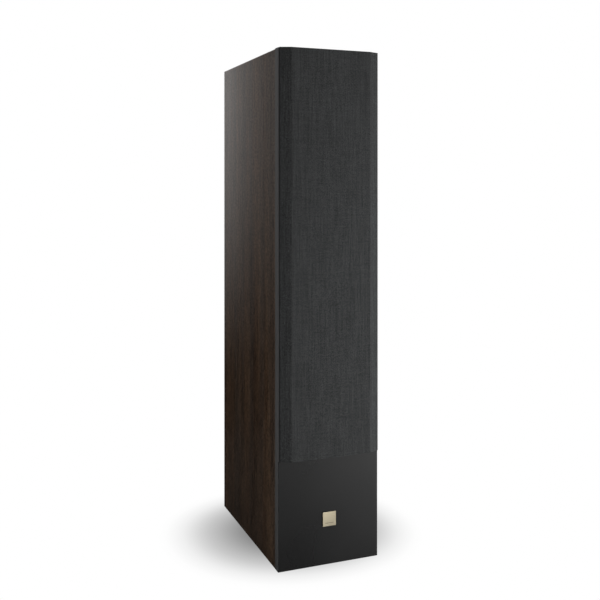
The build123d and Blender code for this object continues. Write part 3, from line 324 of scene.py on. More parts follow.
def laminate(name):
    """Black textured rear board: a pebbled foil."""
    g = Graph(name)
    cells = g.voronoi(420)
    fine = g.noise(900, detail=2)
    g.set(
        Base_Color=g.mix(g.noise(11, detail=3), (0.0135, 0.0135, 0.0140), (0.0185, 0.0185, 0.0190)),
        Roughness=g.span(fine, 0.3, 0.7, 0.42, 0.56),
        Specular_IOR_Level=0.45,
    )
    g.bump(cells, 0.35, 0.0002)
    g.bump(fine, 0.12, 0.0001)
    return g.mat


def metal(name, color, rough=0.3, stretch=(1, 1, 1), scale=300, vary=0.10, depth=0.05, blotch=0.0, tone2=None):
    """Metal with brush or cast marks and patches of slightly different tone and roughness."""
    g = Graph(name)
    marks = g.noise(scale, stretch, detail=3, rough=0.6)
    cloud = g.noise(18, detail=3, rough=0.6)
    a, b = tint(color, 1 - vary), tint(color, 1 + vary)
    c = g.mix(g.span(marks, 0.35, 0.65), a, b)
    if tone2:
        c = g.mix(g.span(cloud, 0.42, 0.62, 0.0, blotch), c, tone2)
    g.set(Base_Color=c, Metallic=1.0, Roughness=g.span(marks, 0.3, 0.7, rough - 0.06, rough + 0.08))
    g.bump(marks, depth, 0.0002)
    return g.mat


def powder(name, color, rough=0.5, metallic=0.0):
    """Powder-coated casting: a fine pebbled skin."""
    g = Graph(name)
    skin = g.noise(1100, detail=2)
    g.set(
        Base_Color=g.mix(g.noise(30, detail=3), tint(color, 0.85), tint(color, 1.15)),
        Roughness=g.span(skin, 0.3, 0.7, rough - 0.05, rough + 0.08),
        Metallic=metallic,
        Specular_IOR_Level=0.5,
    )
    g.bump(skin, 0.18, 0.0002)
    return g.mat


def radius_from(g, zc):
    x, z = g.axis("X"), g.math("SUBTRACT", g.axis("Z"), zc)
    return g.math("SQRT", g.math("ADD", g.math("MULTIPLY", x, x), g.math("MULTIPLY", z, z)))


def angle_from(g, zc):
    return g.math("ARCTAN2", g.math("SUBTRACT", g.axis("Z"), zc), g.axis("X"))


def cone_paper(name, zc):
    """Black coated paper: pressed fibres that run outward, and faint rings from the mould."""
    g = Graph(name)
    r, th = radius_from(g, zc), angle_from(g, zc)
    polar = g.node("ShaderNodeCombineXYZ", {"X": g.math("MULTIPLY", r, 60.0), "Y": g.math("MULTIPLY", th, 22.0), "Z": 0.0}).outputs[0]
    fibre = g.node("ShaderNodeTexNoise", {"Vector": polar, "Scale": 3.0, "Detail": 4.0, "Roughness": 0.65}).outputs[0]
    speck = g.noise(700, detail=2, rough=0.6)
    rings = g.math("SINE", g.math("MULTIPLY", r, 1100.0))
    g.set(
        Base_Color=g.ramp(g.math("ADD", g.math("MULTIPLY", fibre, 0.6), g.math("MULTIPLY", speck, 0.4)), (0.35, (0.014, 0.014, 0.0145)), (0.65, (0.034, 0.034, 0.035))),
        Roughness=g.span(speck, 0.3, 0.7, 0.58, 0.74),
        Specular_IOR_Level=0.4,
    )
    g.bump(g.math("ADD", speck, g.math("MULTIPLY", rings, 0.12)), 0.3, 0.0002)
    return g.mat


def turned(name, color, zc, rough=0.28, metallic=1.0):
    """Metal turned on a lathe round a driver's axis."""
    g = Graph(name)
    r = radius_from(g, zc)
    vec = g.node("ShaderNodeCombineXYZ", {"X": g.math("MULTIPLY", r, 1.0), "Y": g.math("MULTIPLY", g.axis("Y"), 1.0), "Z": 0.0}).outputs[0]
    lines = g.node("ShaderNodeTexNoise", {"Vector": vec, "Scale": 2600.0, "Detail": 2.0}).outputs[0]
    g.set(
        Base_Color=g.mix(g.span(lines, 0.35, 0.65), tint(color, 0.86), tint(color, 1.08)),
        Metallic=metallic,
        Roughness=g.span(lines, 0.3, 0.7, rough - 0.05, rough + 0.08),
    )
    g.bump(lines, 0.12, 0.0001)
    return g.mat


def rubber(name, color=(0.016, 0.016, 0.017), rough=0.42):
    g = Graph(name)
    fine = g.noise(800, detail=3, rough=0.6)
    dust = g.noise(60, detail=4, rough=0.7)
    g.set(
        Base_Color=g.mix(g.span(dust, 0.5, 0.75, 0.0, 0.35), color, (0.045, 0.044, 0.042)),
        Roughness=g.span(fine, 0.3, 0.7, rough - 0.04, rough + 0.10),
        Specular_IOR_Level=0.45,
    )
    g.bump(fine, 0.10, 0.0001)
    return g.mat


def cloth(name, a, b, pitch, rough=0.85, resin=0.0):
    """Plain woven cloth with the given thread pitch in metres."""
    g = Graph(name)
    k = 0.5 / pitch
    weave = g.math("MAXIMUM", g.wave(k, "X", 0.3), g.wave(k, "Z", 0.3))
    mottle = g.noise(120, detail=3, rough=0.6)
    g.set(
        Base_Color=g.mix(g.math("ADD", g.math("MULTIPLY", weave, 0.55), g.math("MULTIPLY", mottle, 0.45)), a, b),
        Roughness=g.span(mottle, 0.3, 0.7, rough - 0.08, rough + 0.06),
        Specular_IOR_Level=0.25 + resin,
        Sheen_Weight=0.05,
    )
    g.bump(weave, 0.4, 0.0002)
    return g.mat


def fibreboard(name):
    """Bare medium-density board: tan, with pressed fibre specks."""
    g = Graph(name)
    speck = g.noise(420, (1, 1, 0.6), detail=4, rough=0.7)
    cloud = g.noise(14, detail=3)
    g.set(
        Base_Color=g.mix(cloud, g.ramp(speck, (0.30, (0.20, 0.125, 0.065)), (0.70, (0.42, 0.29, 0.175))), (0.34, 0.23, 0.135)),
        Roughness=0.88,
        Specular_IOR_Level=0.2,
    )
    g.bump(speck, 0.25, 0.0003)
    return g.mat


def wadding(name):
    """Bonded polyester wool."""
    g = Graph(name)
    fluff = g.noise(180, detail=5, rough=0.75, distort=1.2)
    strand = g.noise(60, (1, 0.3, 1), detail=4, rough=0.7, distort=2.0)
    g.set(
        Base_Color=g.ramp(g.math("ADD", g.math("MULTIPLY", fluff, 0.6), g.math("MULTIPLY", strand, 0.4)), (0.3, (0.42, 0.42, 0.40)), (0.7, (0.78, 0.77, 0.74))),
        Roughness=0.95,
        Specular_IOR_Level=0.1,
        Sheen_Weight=0.4,
        Sheen_Roughness=0.6,
    )
    g.bump(fluff, 0.7, 0.0012)
    return g.mat


def copper_winding(name, turns=520.0, along="Z"):
    """Enamelled wire: bands of turns with lacquer gloss."""
    g = Graph(name)
    bands = g.math("SINE", g.math("MULTIPLY", g.axis(along), turns * 2 * math.pi))
    uneven = g.noise(90, detail=3)
    g.set(
        Base_Color=g.mix(g.span(bands, -1, 1), (0.30, 0.10, 0.035), (0.72, 0.30, 0.13)),
        Metallic=0.9,
        Roughness=g.span(uneven, 0.3, 0.7, 0.24, 0.40),
        Coat_Weight=0.4,
    )
    g.bump(g.math("ADD", bands, g.math("MULTIPLY", uneven, 0.8)), 0.5, 0.0003)
    return g.mat


def board_green(name):
    """Glass-fibre circuit board with broad tinned tracks, and a black terminal block along one edge."""
    g = Graph(name)
    cells = g.voronoi(26, feature="DISTANCE_TO_EDGE")
    weave = g.noise(500, detail=2)
    z, y = g.axis("Z"), g.axis("Y")
    base = g.mix(g.span(cells, 0.06, 0.08), (0.010, 0.050, 0.022), g.mix(weave, (0.016, 0.085, 0.038), (0.024, 0.110, 0.050)))
    block = g.math("GREATER_THAN", z, 0.0282)
    g.set(
        Base_Color=g.mix(block, base, (0.018, 0.018, 0.02)),
        Roughness=g.span(weave, 0.3, 0.7, 0.30, 0.45),
        Specular_IOR_Level=0.5,
    )
    g.bump(g.math("ADD", g.span(cells, 0.06, 0.09), g.math("MULTIPLY", weave, 0.15)), 0.3, 0.0002)
    return g.mat


def capacitor(name):
    """Shrink sleeve in mottled red."""
    g = Graph(name)
    wrap = g.noise(40, (3, 1, 1), detail=3)
    g.set(
        Base_Color=g.mix(g.span(wrap, 0.35, 0.65), (0.36, 0.035, 0.015), (0.52, 0.070, 0.025)),
        Roughness=g.span(g.noise(300, detail=2), 0.3, 0.7, 0.18, 0.32),
        Coat_Weight=0.3,
    )
    g.bump(wrap, 0.15, 0.0005)
    return g.mat


def ceramic(name):
    g = Graph(name)
    speck = g.noise(600, detail=4, rough=0.7)
    g.set(Base_Color=g.ramp(speck, (0.3, (0.50, 0.48, 0.43)), (0.7, (0.74, 0.72, 0.67))), Roughness=0.8, Specular_IOR_Level=0.3)
    g.bump(speck, 0.3, 0.0002)
    return g.mat


def gold_posts(name):
    """Gold-plated brass. The insulating collars under the knobs are moulded red on one side and black on the other."""
    g = Graph(name)
    fine = g.noise(900, (1, 6, 1), detail=2)
    y, x = g.axis("Y"), g.axis("X")
    collar = g.math("MULTIPLY", g.math("GREATER_THAN", y, 0.1805), g.math("LESS_THAN", y, 0.1921))
    zz = g.math("ABSOLUTE", g.math("SUBTRACT", g.axis("Z"), 0.160))
    dx = g.math("SUBTRACT", g.math("ABSOLUTE", x), 0.026)
    dz = g.math("SUBTRACT", zz, 0.020)
    outer = g.math("GREATER_THAN", g.math("SQRT", g.math("ADD", g.math("MULTIPLY", dx, dx), g.math("MULTIPLY", dz, dz))), 0.00305)
    band = g.math("MULTIPLY", collar, outer)
    side = g.math("LESS_THAN", x, 0.0)
    g.set(
        Base_Color=g.mix(band, g.mix(fine, (0.86, 0.60, 0.24), (0.93, 0.69, 0.33)), g.mix(side, (0.018, 0.018, 0.02), (0.40, 0.015, 0.012))),
        Metallic=g.math("SUBTRACT", 1.0, band),
        Roughness=g.math("ADD", g.span(fine, 0.3, 0.7, 0.16, 0.26), g.math("MULTIPLY", band, 0.22)),
    )
    g.bump(fine, 0.05, 0.0001)
    return g.mat


def knob_gold(name, x0):
    """Turned, fluted and gold-plated, with a moulded colour ring let into its waist."""
    g = Graph(name)
    fine = g.noise(1500, (0.3, 1, 0.3), detail=2)
    y = g.axis("Y")
    ring = g.math("MULTIPLY", g.math("GREATER_THAN", y, 0.19535), g.math("LESS_THAN", y, 0.19815))
    color = (0.42, 0.014, 0.012) if x0 < 0 else (0.018, 0.018, 0.02)
    g.set(
        Base_Color=g.mix(ring, g.mix(fine, (0.86, 0.60, 0.24), (0.94, 0.70, 0.34)), color),
        Metallic=g.math("SUBTRACT", 1.0, ring),
        Roughness=g.math("ADD", g.span(fine, 0.3, 0.7, 0.15, 0.25), g.math("MULTIPLY", ring, 0.2)),
    )
    g.bump(fine, 0.06, 0.0001)
    return g.mat


def badge_metal(name):
    """Pale champagne metal, brushed across, with the engraved line left darker; its side faces are painted almost black
    as painted shade, and it is painted lighter toward the upper left and darker toward the lower right, standing in for
    how light falls.
    """
    g = Graph(name)
    brush = g.noise(900, (0.02, 1, 1), detail=3, rough=0.7)
    broad = g.noise(60, (0.2, 1, 1), detail=2)
    depth = g.axis("Y")
    groove = g.math("MULTIPLY", g.math("GREATER_THAN", depth, -0.20892), g.math("LESS_THAN", depth, -0.2085))
    inside = g.math("LESS_THAN", g.math("ABSOLUTE", g.math("SUBTRACT", g.axis("Z"), 0.0924)), 0.0008)
    groove = g.math("MULTIPLY", groove, inside)
    # painted shade: the badge's side faces, behind its front face, are painted almost black
    wall = g.math("GREATER_THAN", depth, -0.20850)
    dark = g.math("MAXIMUM", g.math("MULTIPLY", groove, 0.75), g.math("MULTIPLY", g.math("SUBTRACT", 1.0, inside), wall))
    c = g.mix(g.span(brush, 0.3, 0.7), (0.49, 0.430, 0.312), (0.59, 0.527, 0.395))
    c = g.mix(g.span(broad, 0.3, 0.7, 0.0, 0.25), c, (0.50, 0.448, 0.336))
    # painted light and shade: lighter toward the upper left, darker toward the lower right
    painted_light_gradient = g.math("SUBTRACT", g.axis("Z"), g.axis("X"))
    painted_light_gradient = g.span(painted_light_gradient, 0.086, 0.122, 0.84, 1.10)
    c = g.mix(1.0, c, g.node("ShaderNodeCombineColor", {0: painted_light_gradient, 1: g.math("MULTIPLY", painted_light_gradient, 0.99), 2: g.math("MULTIPLY", painted_light_gradient, 0.95)}).outputs[0], "MULTIPLY")
    g.set(
        Base_Color=g.mix(dark, c, (0.045, 0.040, 0.032)),
        Metallic=0.6,
        Roughness=g.span(brush, 0.3, 0.7, 0.28, 0.42),
    )
    g.bump(brush, 0.08, 0.0001)
    return g.mat


MATERIALS = {
    "walnut_side": wood_vinyl("walnut_side", "Z", 1.0),
    "walnut_across": wood_vinyl("walnut_across", "X", 2.0),
    "satin_black": lacquer("satin_black"),
    "rear_laminate": laminate("rear_laminate"),
    "board": fibreboard("board"),
    "moulding": plastic("moulding", (0.016, 0.016, 0.017), 0.5),
    "frame_moulding": plastic("frame_moulding", (0.013, 0.013, 0.014), 0.55),
    "gold": gold_posts("gold"),
    "gold_washer": metal("gold_washer", (0.88, 0.63, 0.27), 0.2, scale=900, vary=0.05),
    "insert": metal("insert", (0.72, 0.53, 0.26), 0.32, scale=700, vary=0.08),
    "circuit": board_green("circuit"),
    "copper": copper_winding("copper"),
    "capacitor": capacitor("capacitor"),
    "ceramic": ceramic("ceramic"),
    "cable": rubber("cable", (0.03, 0.006, 0.006), 0.4),
    "casting": powder("casting", (0.022, 0.022, 0.024), 0.46),
    "zinc": metal("zinc", (0.58, 0.59, 0.60), 0.34, scale=260, vary=0.06, tone2=(0.62, 0.60, 0.50), blotch=0.5),
    "ferrite": plastic("ferrite", (0.030, 0.030, 0.032), 0.62, grain=1200, depth=0.2),
    "coil": copper_winding("coil", 2600.0, "Y"),
    "screw": metal("screw", (0.045, 0.045, 0.05), 0.36, scale=1200, vary=0.15),
    "socket": rubber("socket", (0.014, 0.014, 0.014), 0.6),
    "faceplate": turned("faceplate", (0.020, 0.020, 0.022), DRIVERS["tweeter"], 0.40, metallic=0.15),
    "silk": cloth("silk", (0.010, 0.010, 0.011), (0.030, 0.030, 0.032), 0.0006, 0.45, resin=0.35),
    "surround": rubber("surround", (0.014, 0.014, 0.015), 0.38),
    "spider": cloth("spider", (0.30, 0.20, 0.075), (0.52, 0.38, 0.17), 0.0009, 0.8),
    "wadding": wadding("wadding"),
    "cloth": grille_cloth("cloth"),
    "plug": turned("plug", (0.62, 0.62, 0.63), DRIVERS["midrange"], 0.25),
    "badge": badge_metal("badge"),
}
for d in ("woofer_upper", "woofer_lower", "midrange"):
    MATERIALS[f"paper_{d}"] = cone_paper(f"paper_{d}", DRIVERS[d])
for i, x0 in ((1, -1), (2, 1), (3, -1), (4, 1)):
    MATERIALS[f"knob_{i}"] = knob_gold(f"knob_{i}", x0)

BY_NODE = {
    "side_panel_left": "walnut_side",
    "side_panel_right": "walnut_side",
    "top_panel": "walnut_across",
    "bottom_panel": "walnut_across",
    "front_baffle": "satin_black",
    "rear_panel": "rear_laminate",
    "midrange_enclosure": "board",
    "bass_divider": "board",
    "window_braces": "board",
    "port_tube_upper": "moulding",
    "port_tube_lower": "moulding",
    "terminal_cup": "moulding",
    "grille_frame": "frame_moulding",
    "binding_posts": "gold",
    "jumper_plates": "gold_washer",
    "threaded_inserts": "insert",
    "crossover_board": "circuit",
    "crossover_inductors": "copper",
    "crossover_capacitors": "capacitor",
    "crossover_resistors": "ceramic",
    "internal_cables": "cable",
    "driver_magnets": "ferrite",
    "midrange_phase_plug": "plug",
    "tweeter_faceplate": "faceplate",
    "chassis_screws": "screw",
    "grille_sockets": "socket",
    "badge": "badge",
    "tweeter_motor": "zinc",
    "tweeter_voice_coil": "coil",
}
for d in ("woofer_upper", "woofer_lower", "midrange"):
    BY_NODE[f"{d}_basket"] = "casting"
    BY_NODE[f"{d}_motor"] = "zinc"
    BY_NODE[f"{d}_voice_coil"] = "coil"
    BY_NODE[f"{d}_cone"] = f"paper_{d}"
    if d != "midrange":
        BY_NODE[f"{d}_dust_cap"] = f"paper_{d}"
for i in range(1, 5):
    BY_NODE[f"clamp_washer_{i}"] = "gold_washer"
    BY_NODE[f"post_knob_{i}"] = f"knob_{i}"

for node, key in BY_NODE.items():
    for s in frame["nodes"][node].material_slots:
        s.link = "OBJECT"
        s.material = MATERIALS[key]


# ------------------------------------------------------------------ meshes that stand for soft CAD solids
def mesh_object(name, verts, faces, material, smooth=True):
    me = bpy.data.meshes.new(name)
    me.from_pydata([tuple(v) for v in verts], [], faces)
    me.validate()
    o = bpy.data.objects.new(name, me)
    bpy.context.scene.collection.objects.link(o)
    me.materials.append(material)
    if smooth:
        me.polygons.foreach_set("use_smooth", [True] * len(me.polygons))
    me.update()
    return o


def lathe(name, loop, zc, material, segments=144, xc=0.0):
    """A closed profile loop of (radius, depth behind the baffle's face) in millimetres, turned round a driver's axis."""
    n = len(loop)
    verts, faces = [], []
    for j in range(segments):
        t = 2 * math.pi * j / segments
        for r, a in loop:
            verts.append((xc + r * MM * math.cos(t), FRONT + a * MM, zc + r * MM * math.sin(t)))
    for j in range(segments):
        k = (j + 1) % segments
        for i in range(n):
            m = (i + 1) % n
            faces.append((j * n + i, j * n + m, k * n + m, k * n + i))
    o = mesh_object(name, verts, faces, material)
    bm = bmesh.new()
    bm.from_mesh(o.data)
    bmesh.ops.recalc_face_normals(bm, faces=bm.faces)
    bm.to_mesh(o.data)
    bm.free()
    return o


def radial_weights(o, zc, fixed_r, moving_r):
    """Works out blend weights, 0 at fixed_r and beyond and 1 at moving_r and within, radii in millimetres; the weights
    are not stored on the mesh.
    """
    co = np.array([v.co for v in o.data.vertices], float).reshape(-1, 3)
    r = np.hypot(co[:, 0], co[:, 2] - zc) / MM
    w = np.clip((fixed_r - r) / (fixed_r - moving_r), 0, 1)
    w = w * w * (3 - 2 * w)
    o.data.update()


def thick(line, t):
    """Offsets an open profile line both ways by half of t, and closes it into a loop with rounded ends."""
    p = np.array(line, float)
    d = np.gradient(p, axis=0)
    d /= np.linalg.norm(d, axis=1)[:, None]
    n = np.stack([-d[:, 1], d[:, 0]], axis=1)
    left, right = p + n * t / 2, p - n * t / 2
    tip0, tip1 = p[0] - d[0] * t * 0.3, p[-1] + d[-1] * t * 0.3
    return [tuple(x) for x in [tip0, *left, tip1, *right[::-1]]]


def half_roll(ri, ro, base_i, base_o, height, steps=28):
    out = []
    for i in range(steps + 1):
        s = i / steps
        t = math.pi * s
        r = (ri + ro) / 2 - (ro - ri) / 2 * math.cos(t)
        a = base_i + (base_o - base_i) * s - height * math.sin(t)
        out.append((r, a))
    return out


SURROUNDS = {
    # roll inner radius, roll outer radius, outer glue radius, roll height
    "woofer_upper": (77.0, 90.0, 96.7, 6.1),
    "woofer_lower": (77.0, 90.0, 96.7, 6.1),
    "midrange": (60.5, 70.0, 76.2, 4.4),
}
for d, (ri, ro, edge, high) in SURROUNDS.items():
    zc = DRIVERS[d]
    roll = half_roll(ri + 0.3, ro - 0.3, 3.35, 2.6, high)
    line = [(ri - 3.3, 3.75), (ri - 2.4, 3.6), (ri - 1.4, 3.5), (ri - 0.5, 3.42), *roll, (ro + 0.6, 2.6), (ro + 2.2, 2.6), (ro + 4.0, 2.6), (edge - 0.4, 2.6)]
    o = lathe(f"{d}_surround_rubber", thick(line, 0.75), zc, MATERIALS["surround"], 160)
    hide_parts(f"{d}_surround")
    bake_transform(o)
    radial_weights(o, zc, ro, ri)

SPIDERS = {
    # inner radius, where the corrugations end, outer radius, ledge depth
    "woofer_upper": (19.6, 58.5, 65.2, 46.0),
    "woofer_lower": (19.6, 58.5, 65.2, 46.0),
    "midrange": (15.6, 44.5, 51.0, 34.0),
}
for d, (r0, r1, r2, ledge) in SPIDERS.items():
    zc = DRIVERS[d]
    lo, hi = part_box(f"{d}_spider")
    r2 = min(r2, (hi[0] - lo[0]) / 2 / MM)
    mid = ledge - 2.3
    line = [(r0, mid), (r0 + 1.2, mid)]
    waves, steps = 5, 70
    for i in range(steps + 1):
        s = i / steps
        line.append((r0 + 2.5 + (r1 - r0 - 3.5) * s, mid - 1.45 * math.sin(2 * math.pi * waves * s)))
    line += [(r1 - 0.2, mid + 0.9), (r1 + 0.6, mid + 1.7), (r1 + 1.6, ledge - 0.3), (r1 + 3.0, ledge - 0.3), (r2 - 0.2, ledge - 0.3)]
    o = lathe(f"{d}_spider_cloth", thick(line, 0.5), zc, MATERIALS["spider"], 120)
    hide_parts(f"{d}_spider")
    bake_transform(o)
    radial_weights(o, zc, r1 + 0.5, r0 + 2.0)

# Soft dome: a spherical cap, its narrow roll and the clamped rim in one piece.
zc = DRIVERS["tweeter"]
dome_top, dome_h = 3.8, 4.6
dome_r = (14.0**2 + dome_h**2) / (2 * dome_h)
line = []
for i in range(40):
    r = 0.02 + (13.6 - 0.02) * i / 39
    line.append((r, dome_top + dome_r - math.sqrt(dome_r**2 - r * r)))
line += half_roll(14.1, 17.3, line[-1][1] + 0.15, 9.2, 1.5, 12)
line += [(17.9, 9.2), (19.0, 9.2), (20.2, 9.2)]
o = lathe("tweeter_dome_silk", thick(line, 0.34), zc, MATERIALS["silk"], 96)
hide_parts("tweeter_diaphragm")
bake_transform(o)
radial_weights(o, zc, 17.4, 14.1)


# ------------------------------------------------------------------ grille cloth, stretched over its frame
def grille_sheet():
    """Front face as a dense grid, then rings that turn over each edge, run down the sides and hem at the back."""
    lo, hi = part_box("grille_fabric")
    half, z0, z1 = hi[0] / MM, lo[2] / MM, hi[2] / MM
    face, edge, fold = 15.5, 6.0, 94.5
    turn = 1.6  # radius where the cloth turns over the frame's edges
    ease = 1.9  # half width over which the long bevel's fold is eased

    slope = (face - edge) / (half - fold)

    def depth(x):
        """How far the cloth stands in front of the baffle at this x, with the fold eased into a small curve."""
        u = abs(x) - fold
        if u <= -ease:
            return face
        if u >= ease:
            return face - slope * u
        return face - slope * (u + ease) ** 2 / (4 * ease)

    xs = np.unique(np.round(np.concatenate([
        np.linspace(-half + turn, -fold - 4, 10),
        np.linspace(-fold - 4, -fold + 4, 15),
        np.linspace(-fold + 4, fold - 4, 48),
        np.linspace(fold - 4, fold + 4, 15),
        np.linspace(fold + 4, half - turn, 10),
    ]), 5))
    zs = np.linspace(z0 + turn, z1 - turn, 190)
    verts, faces = [], []
    nx, nz = len(xs), len(zs)
    for z in zs:
        for x in xs:
            # the weave is pulled tight, and sinks a little between the rails
            sink = 0.0
            if abs(x) < 93:
                span = min(abs(z - r) for r in (248.0, 545.0, 783.0, 964.0, 1131.0))
                sink = 0.35 * (1 - (x / 93) ** 2) * min(1.0, span / 45.0)
            verts.append((x, depth(x) - sink, z))
    for j in range(nz - 1):
        for i in range(nx - 1):
            a = j * nx + i
            faces.append((a, a + 1, a + nx + 1, a + nx))
    # perimeter of the grid, anticlockwise seen from the front
    ring = [i for i in range(nx)] + [j * nx + nx - 1 for j in range(1, nz)]
    ring += [(nz - 1) * nx + i for i in range(nx - 2, -1, -1)] + [j * nx for j in range(nz - 2, 0, -1)]
    outward = []
    for v in ring:
        x, _, z = verts[v]
        ox = -1.0 if x <= xs[0] + 1e-6 else (1.0 if x >= xs[-1] - 1e-6 else 0.0)
        oz = -1.0 if z <= zs[0] + 1e-6 else (1.0 if z >= zs[-1] - 1e-6 else 0.0)
        outward.append((ox, oz))
    base = [verts[v] for v in ring]
    last = ring

    def add_ring(points):
        nonlocal last
        start = len(verts)
        verts.extend(points)
        new = list(range(start, start + len(points)))
        m = len(new)
        for i in range(m):
            k = (i + 1) % m
            faces.append((last[i], new[i], new[k], last[k]))
        last = new

    for s in (0.25, 0.5, 0.75, 1.0):
        t = math.pi / 2 * s
        add_ring([(x + ox * turn * math.sin(t), g - turn * (1 - math.cos(t)), z + oz * turn * math.sin(t)) for (x, g, z), (ox, oz) in zip(base, outward)])
    top = [verts[v] for v in last]
    for s in (0.34, 0.67, 1.0):
        add_ring([(x, g + (0.75 - g) * s, z) for x, g, z in top])
    rim = [verts[v] for v in last]
    add_ring([(x - 0.16 * ox, 0.46, z - 0.16 * oz) for (x, g, z), (ox, oz) in zip(rim, outward)])
    for inset in (0.6, 5.0, 10.0, 12.5):
        # the hem is glued to the frame's back
        add_ring([(x - ox * inset, 0.34, z - oz * inset) for (x, g, z), (ox, oz) in zip(rim, outward)])
    out = [(x * MM, FRONT - g * MM, z * MM) for x, g, z in verts]
    o = mesh_object("grille_cloth_cover", out, faces, MATERIALS["cloth"])
    bm = bmesh.new()
    bm.from_mesh(o.data)
    bmesh.ops.recalc_face_normals(bm, faces=bm.faces)
    centre = Vector((0, FRONT - 0.005, 0.69))
    front = max(bm.faces, key=lambda f: -f.calc_center_median().y)
    if front.normal.y > 0:
        bmesh.ops.reverse_faces(bm, faces=bm.faces)
    bm.to_mesh(o.data)
    bm.free()
    shell = o.modifiers.new("thickness", "SOLIDIFY")
    shell.thickness = 0.0006
    shell.offset = -1.0
    shell.use_even_offset = False
    return o


cover = grille_sheet()
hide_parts("grille_fabric")
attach(cover, "grille")


# ------------------------------------------------------------------ wadding pads, puffed by a short cloth simulation
def pad_mesh(name, size, place):
    """A soft slab: a box of the given size with broadly rounded edges."""
    sx, sy, sz = size
    bm = bmesh.new()
    bmesh.ops.create_cube(bm, size=1.0)
    for v in bm.verts:
        v.co = Vector((v.co.x * sx, v.co.y * sy, v.co.z * sz))
    bmesh.ops.bevel(bm, geom=list(bm.edges), offset=min(size) * 0.36, segments=3, profile=0.6, affect="EDGES")
    me = bpy.data.meshes.new(name)
    bm.to_mesh(me)
    bm.free()
    o = bpy.data.objects.new(name, me)
    o.location = place
    bpy.context.scene.collection.objects.link(o)
    return o


def apply_modifiers(o):
    dg = bpy.context.evaluated_depsgraph_get()
    me = bpy.data.meshes.new_from_object(o.evaluated_get(dg), depsgraph=dg)
    o.modifiers.clear()
    o.data = me


def puff(o, cap):
    """Voxel remesh, twenty frames of cloth under pressure, movement capped, result applied."""
    re = o.modifiers.new("remesh", "REMESH")
    re.mode = "VOXEL"
    re.voxel_size = 0.0055
    apply_modifiers(o)
    rest = np.array([v.co for v in o.data.vertices], float)
    c = o.modifiers.new("cloth", "CLOTH")
    c.settings.quality = 4
    c.settings.mass = 0.2
    c.settings.tension_stiffness = 12
    c.settings.compression_stiffness = 12
    c.settings.bending_stiffness = 0.4
    c.settings.use_pressure = True
    c.settings.uniform_pressure_force = 4.0
    c.settings.effector_weights.gravity = 0.0
    c.collision_settings.use_collision = False
    c.point_cache.frame_start, c.point_cache.frame_end = 1, 20
    for f in range(1, 21):
        bpy.context.scene.frame_set(f)
    apply_modifiers(o)
    bpy.context.scene.frame_set(1)
    now = np.array([v.co for v in o.data.vertices], float)
    if len(now) == len(rest):
        move = now - rest
        far = np.linalg.norm(move, axis=1, keepdims=True)
        now = rest + move * np.minimum(1.0, cap / np.maximum(far, 1e-9))
    return now
    return rest


PADS = {
    # z range, y range in metres
    "lower": ((0.300, 0.528), (-0.138, 0.118)),
    "middle": ((0.560, 0.768), (-0.138, 0.118)),
    "upper": ((0.800, 0.985), (-0.150, 0.000)),
}
for key, ((z0, z1), (y0, y1)) in PADS.items():
    size = (0.0175, y1 - y0 - 0.006, z1 - z0 - 0.006)
    first = pad_mesh(f"wadding_{key}_right", size, (0.0, 0.0, 0.0))
    co = puff(first, 0.0022)
    # tufting: rows of shallow dimples, and a loose surface
    rng = np.random.default_rng(7)
    bumps = rng.normal(0, 0.00035, size=len(co))
    dimple = 0.0014 * np.exp(-((np.mod(co[:, 1] / 0.052, 1) - 0.5) ** 2 + (np.mod(co[:, 2] / 0.052, 1) - 0.5) ** 2) / 0.02)
    side = np.sign(co[:, 0])
    co[:, 0] = np.clip(co[:, 0] + bumps - side * dimple, -0.0103, 0.0103)
    first.data.vertices.foreach_set("co", co.astype(np.float32).ravel())
    first.data.update()
    other = bpy.data.objects.new(f"wadding_{key}_left", first.data.copy())
    bpy.context.scene.collection.objects.link(other)
    for o, sx in ((first, 1), (other, -1)):
        centre = np.array([sx * 0.0907, (y0 + y1) / 2, (z0 + z1) / 2])
        pts = np.array([v.co for v in o.data.vertices], float) * np.array([sx, 1, 1]) + centre
        o.data.vertices.foreach_set("co", pts.astype(np.float32).ravel())
        if sx < 0:
            bm = bmesh.new()
            bm.from_mesh(o.data)
            bmesh.ops.reverse_faces(bm, faces=bm.faces)
            bm.to_mesh(o.data)
            bm.free()
        o.data.materials.clear()
        o.data.materials.append(MATERIALS["wadding"])
        o.data.polygons.foreach_set("use_smooth", [True] * len(o.data.polygons))
        o.data.update()
        sub = o.modifiers.new("subdivide", "SUBSURF")
        sub.levels = sub.render_levels = 1
        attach(o, "cabinet")
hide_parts("damping_pads")


# ------------------------------------------------------------------ floor, light and camera
# painted shadow: how light the floor is painted for camera rays at a distance (m) from the middle of the speaker's foot
FLOOR_PAINTED_SHADOW = ((0.04, 0.13), (0.08, 0.19), (0.10, 0.235), (0.12, 0.293), (0.14, 0.358), (0.16, 0.428), (0.18, 0.504), (0.20, 0.580), (0.22, 0.674), (0.24, 0.778), (0.26, 0.872), (0.28, 0.933), (0.30, 0.984), (0.32, 1.0))


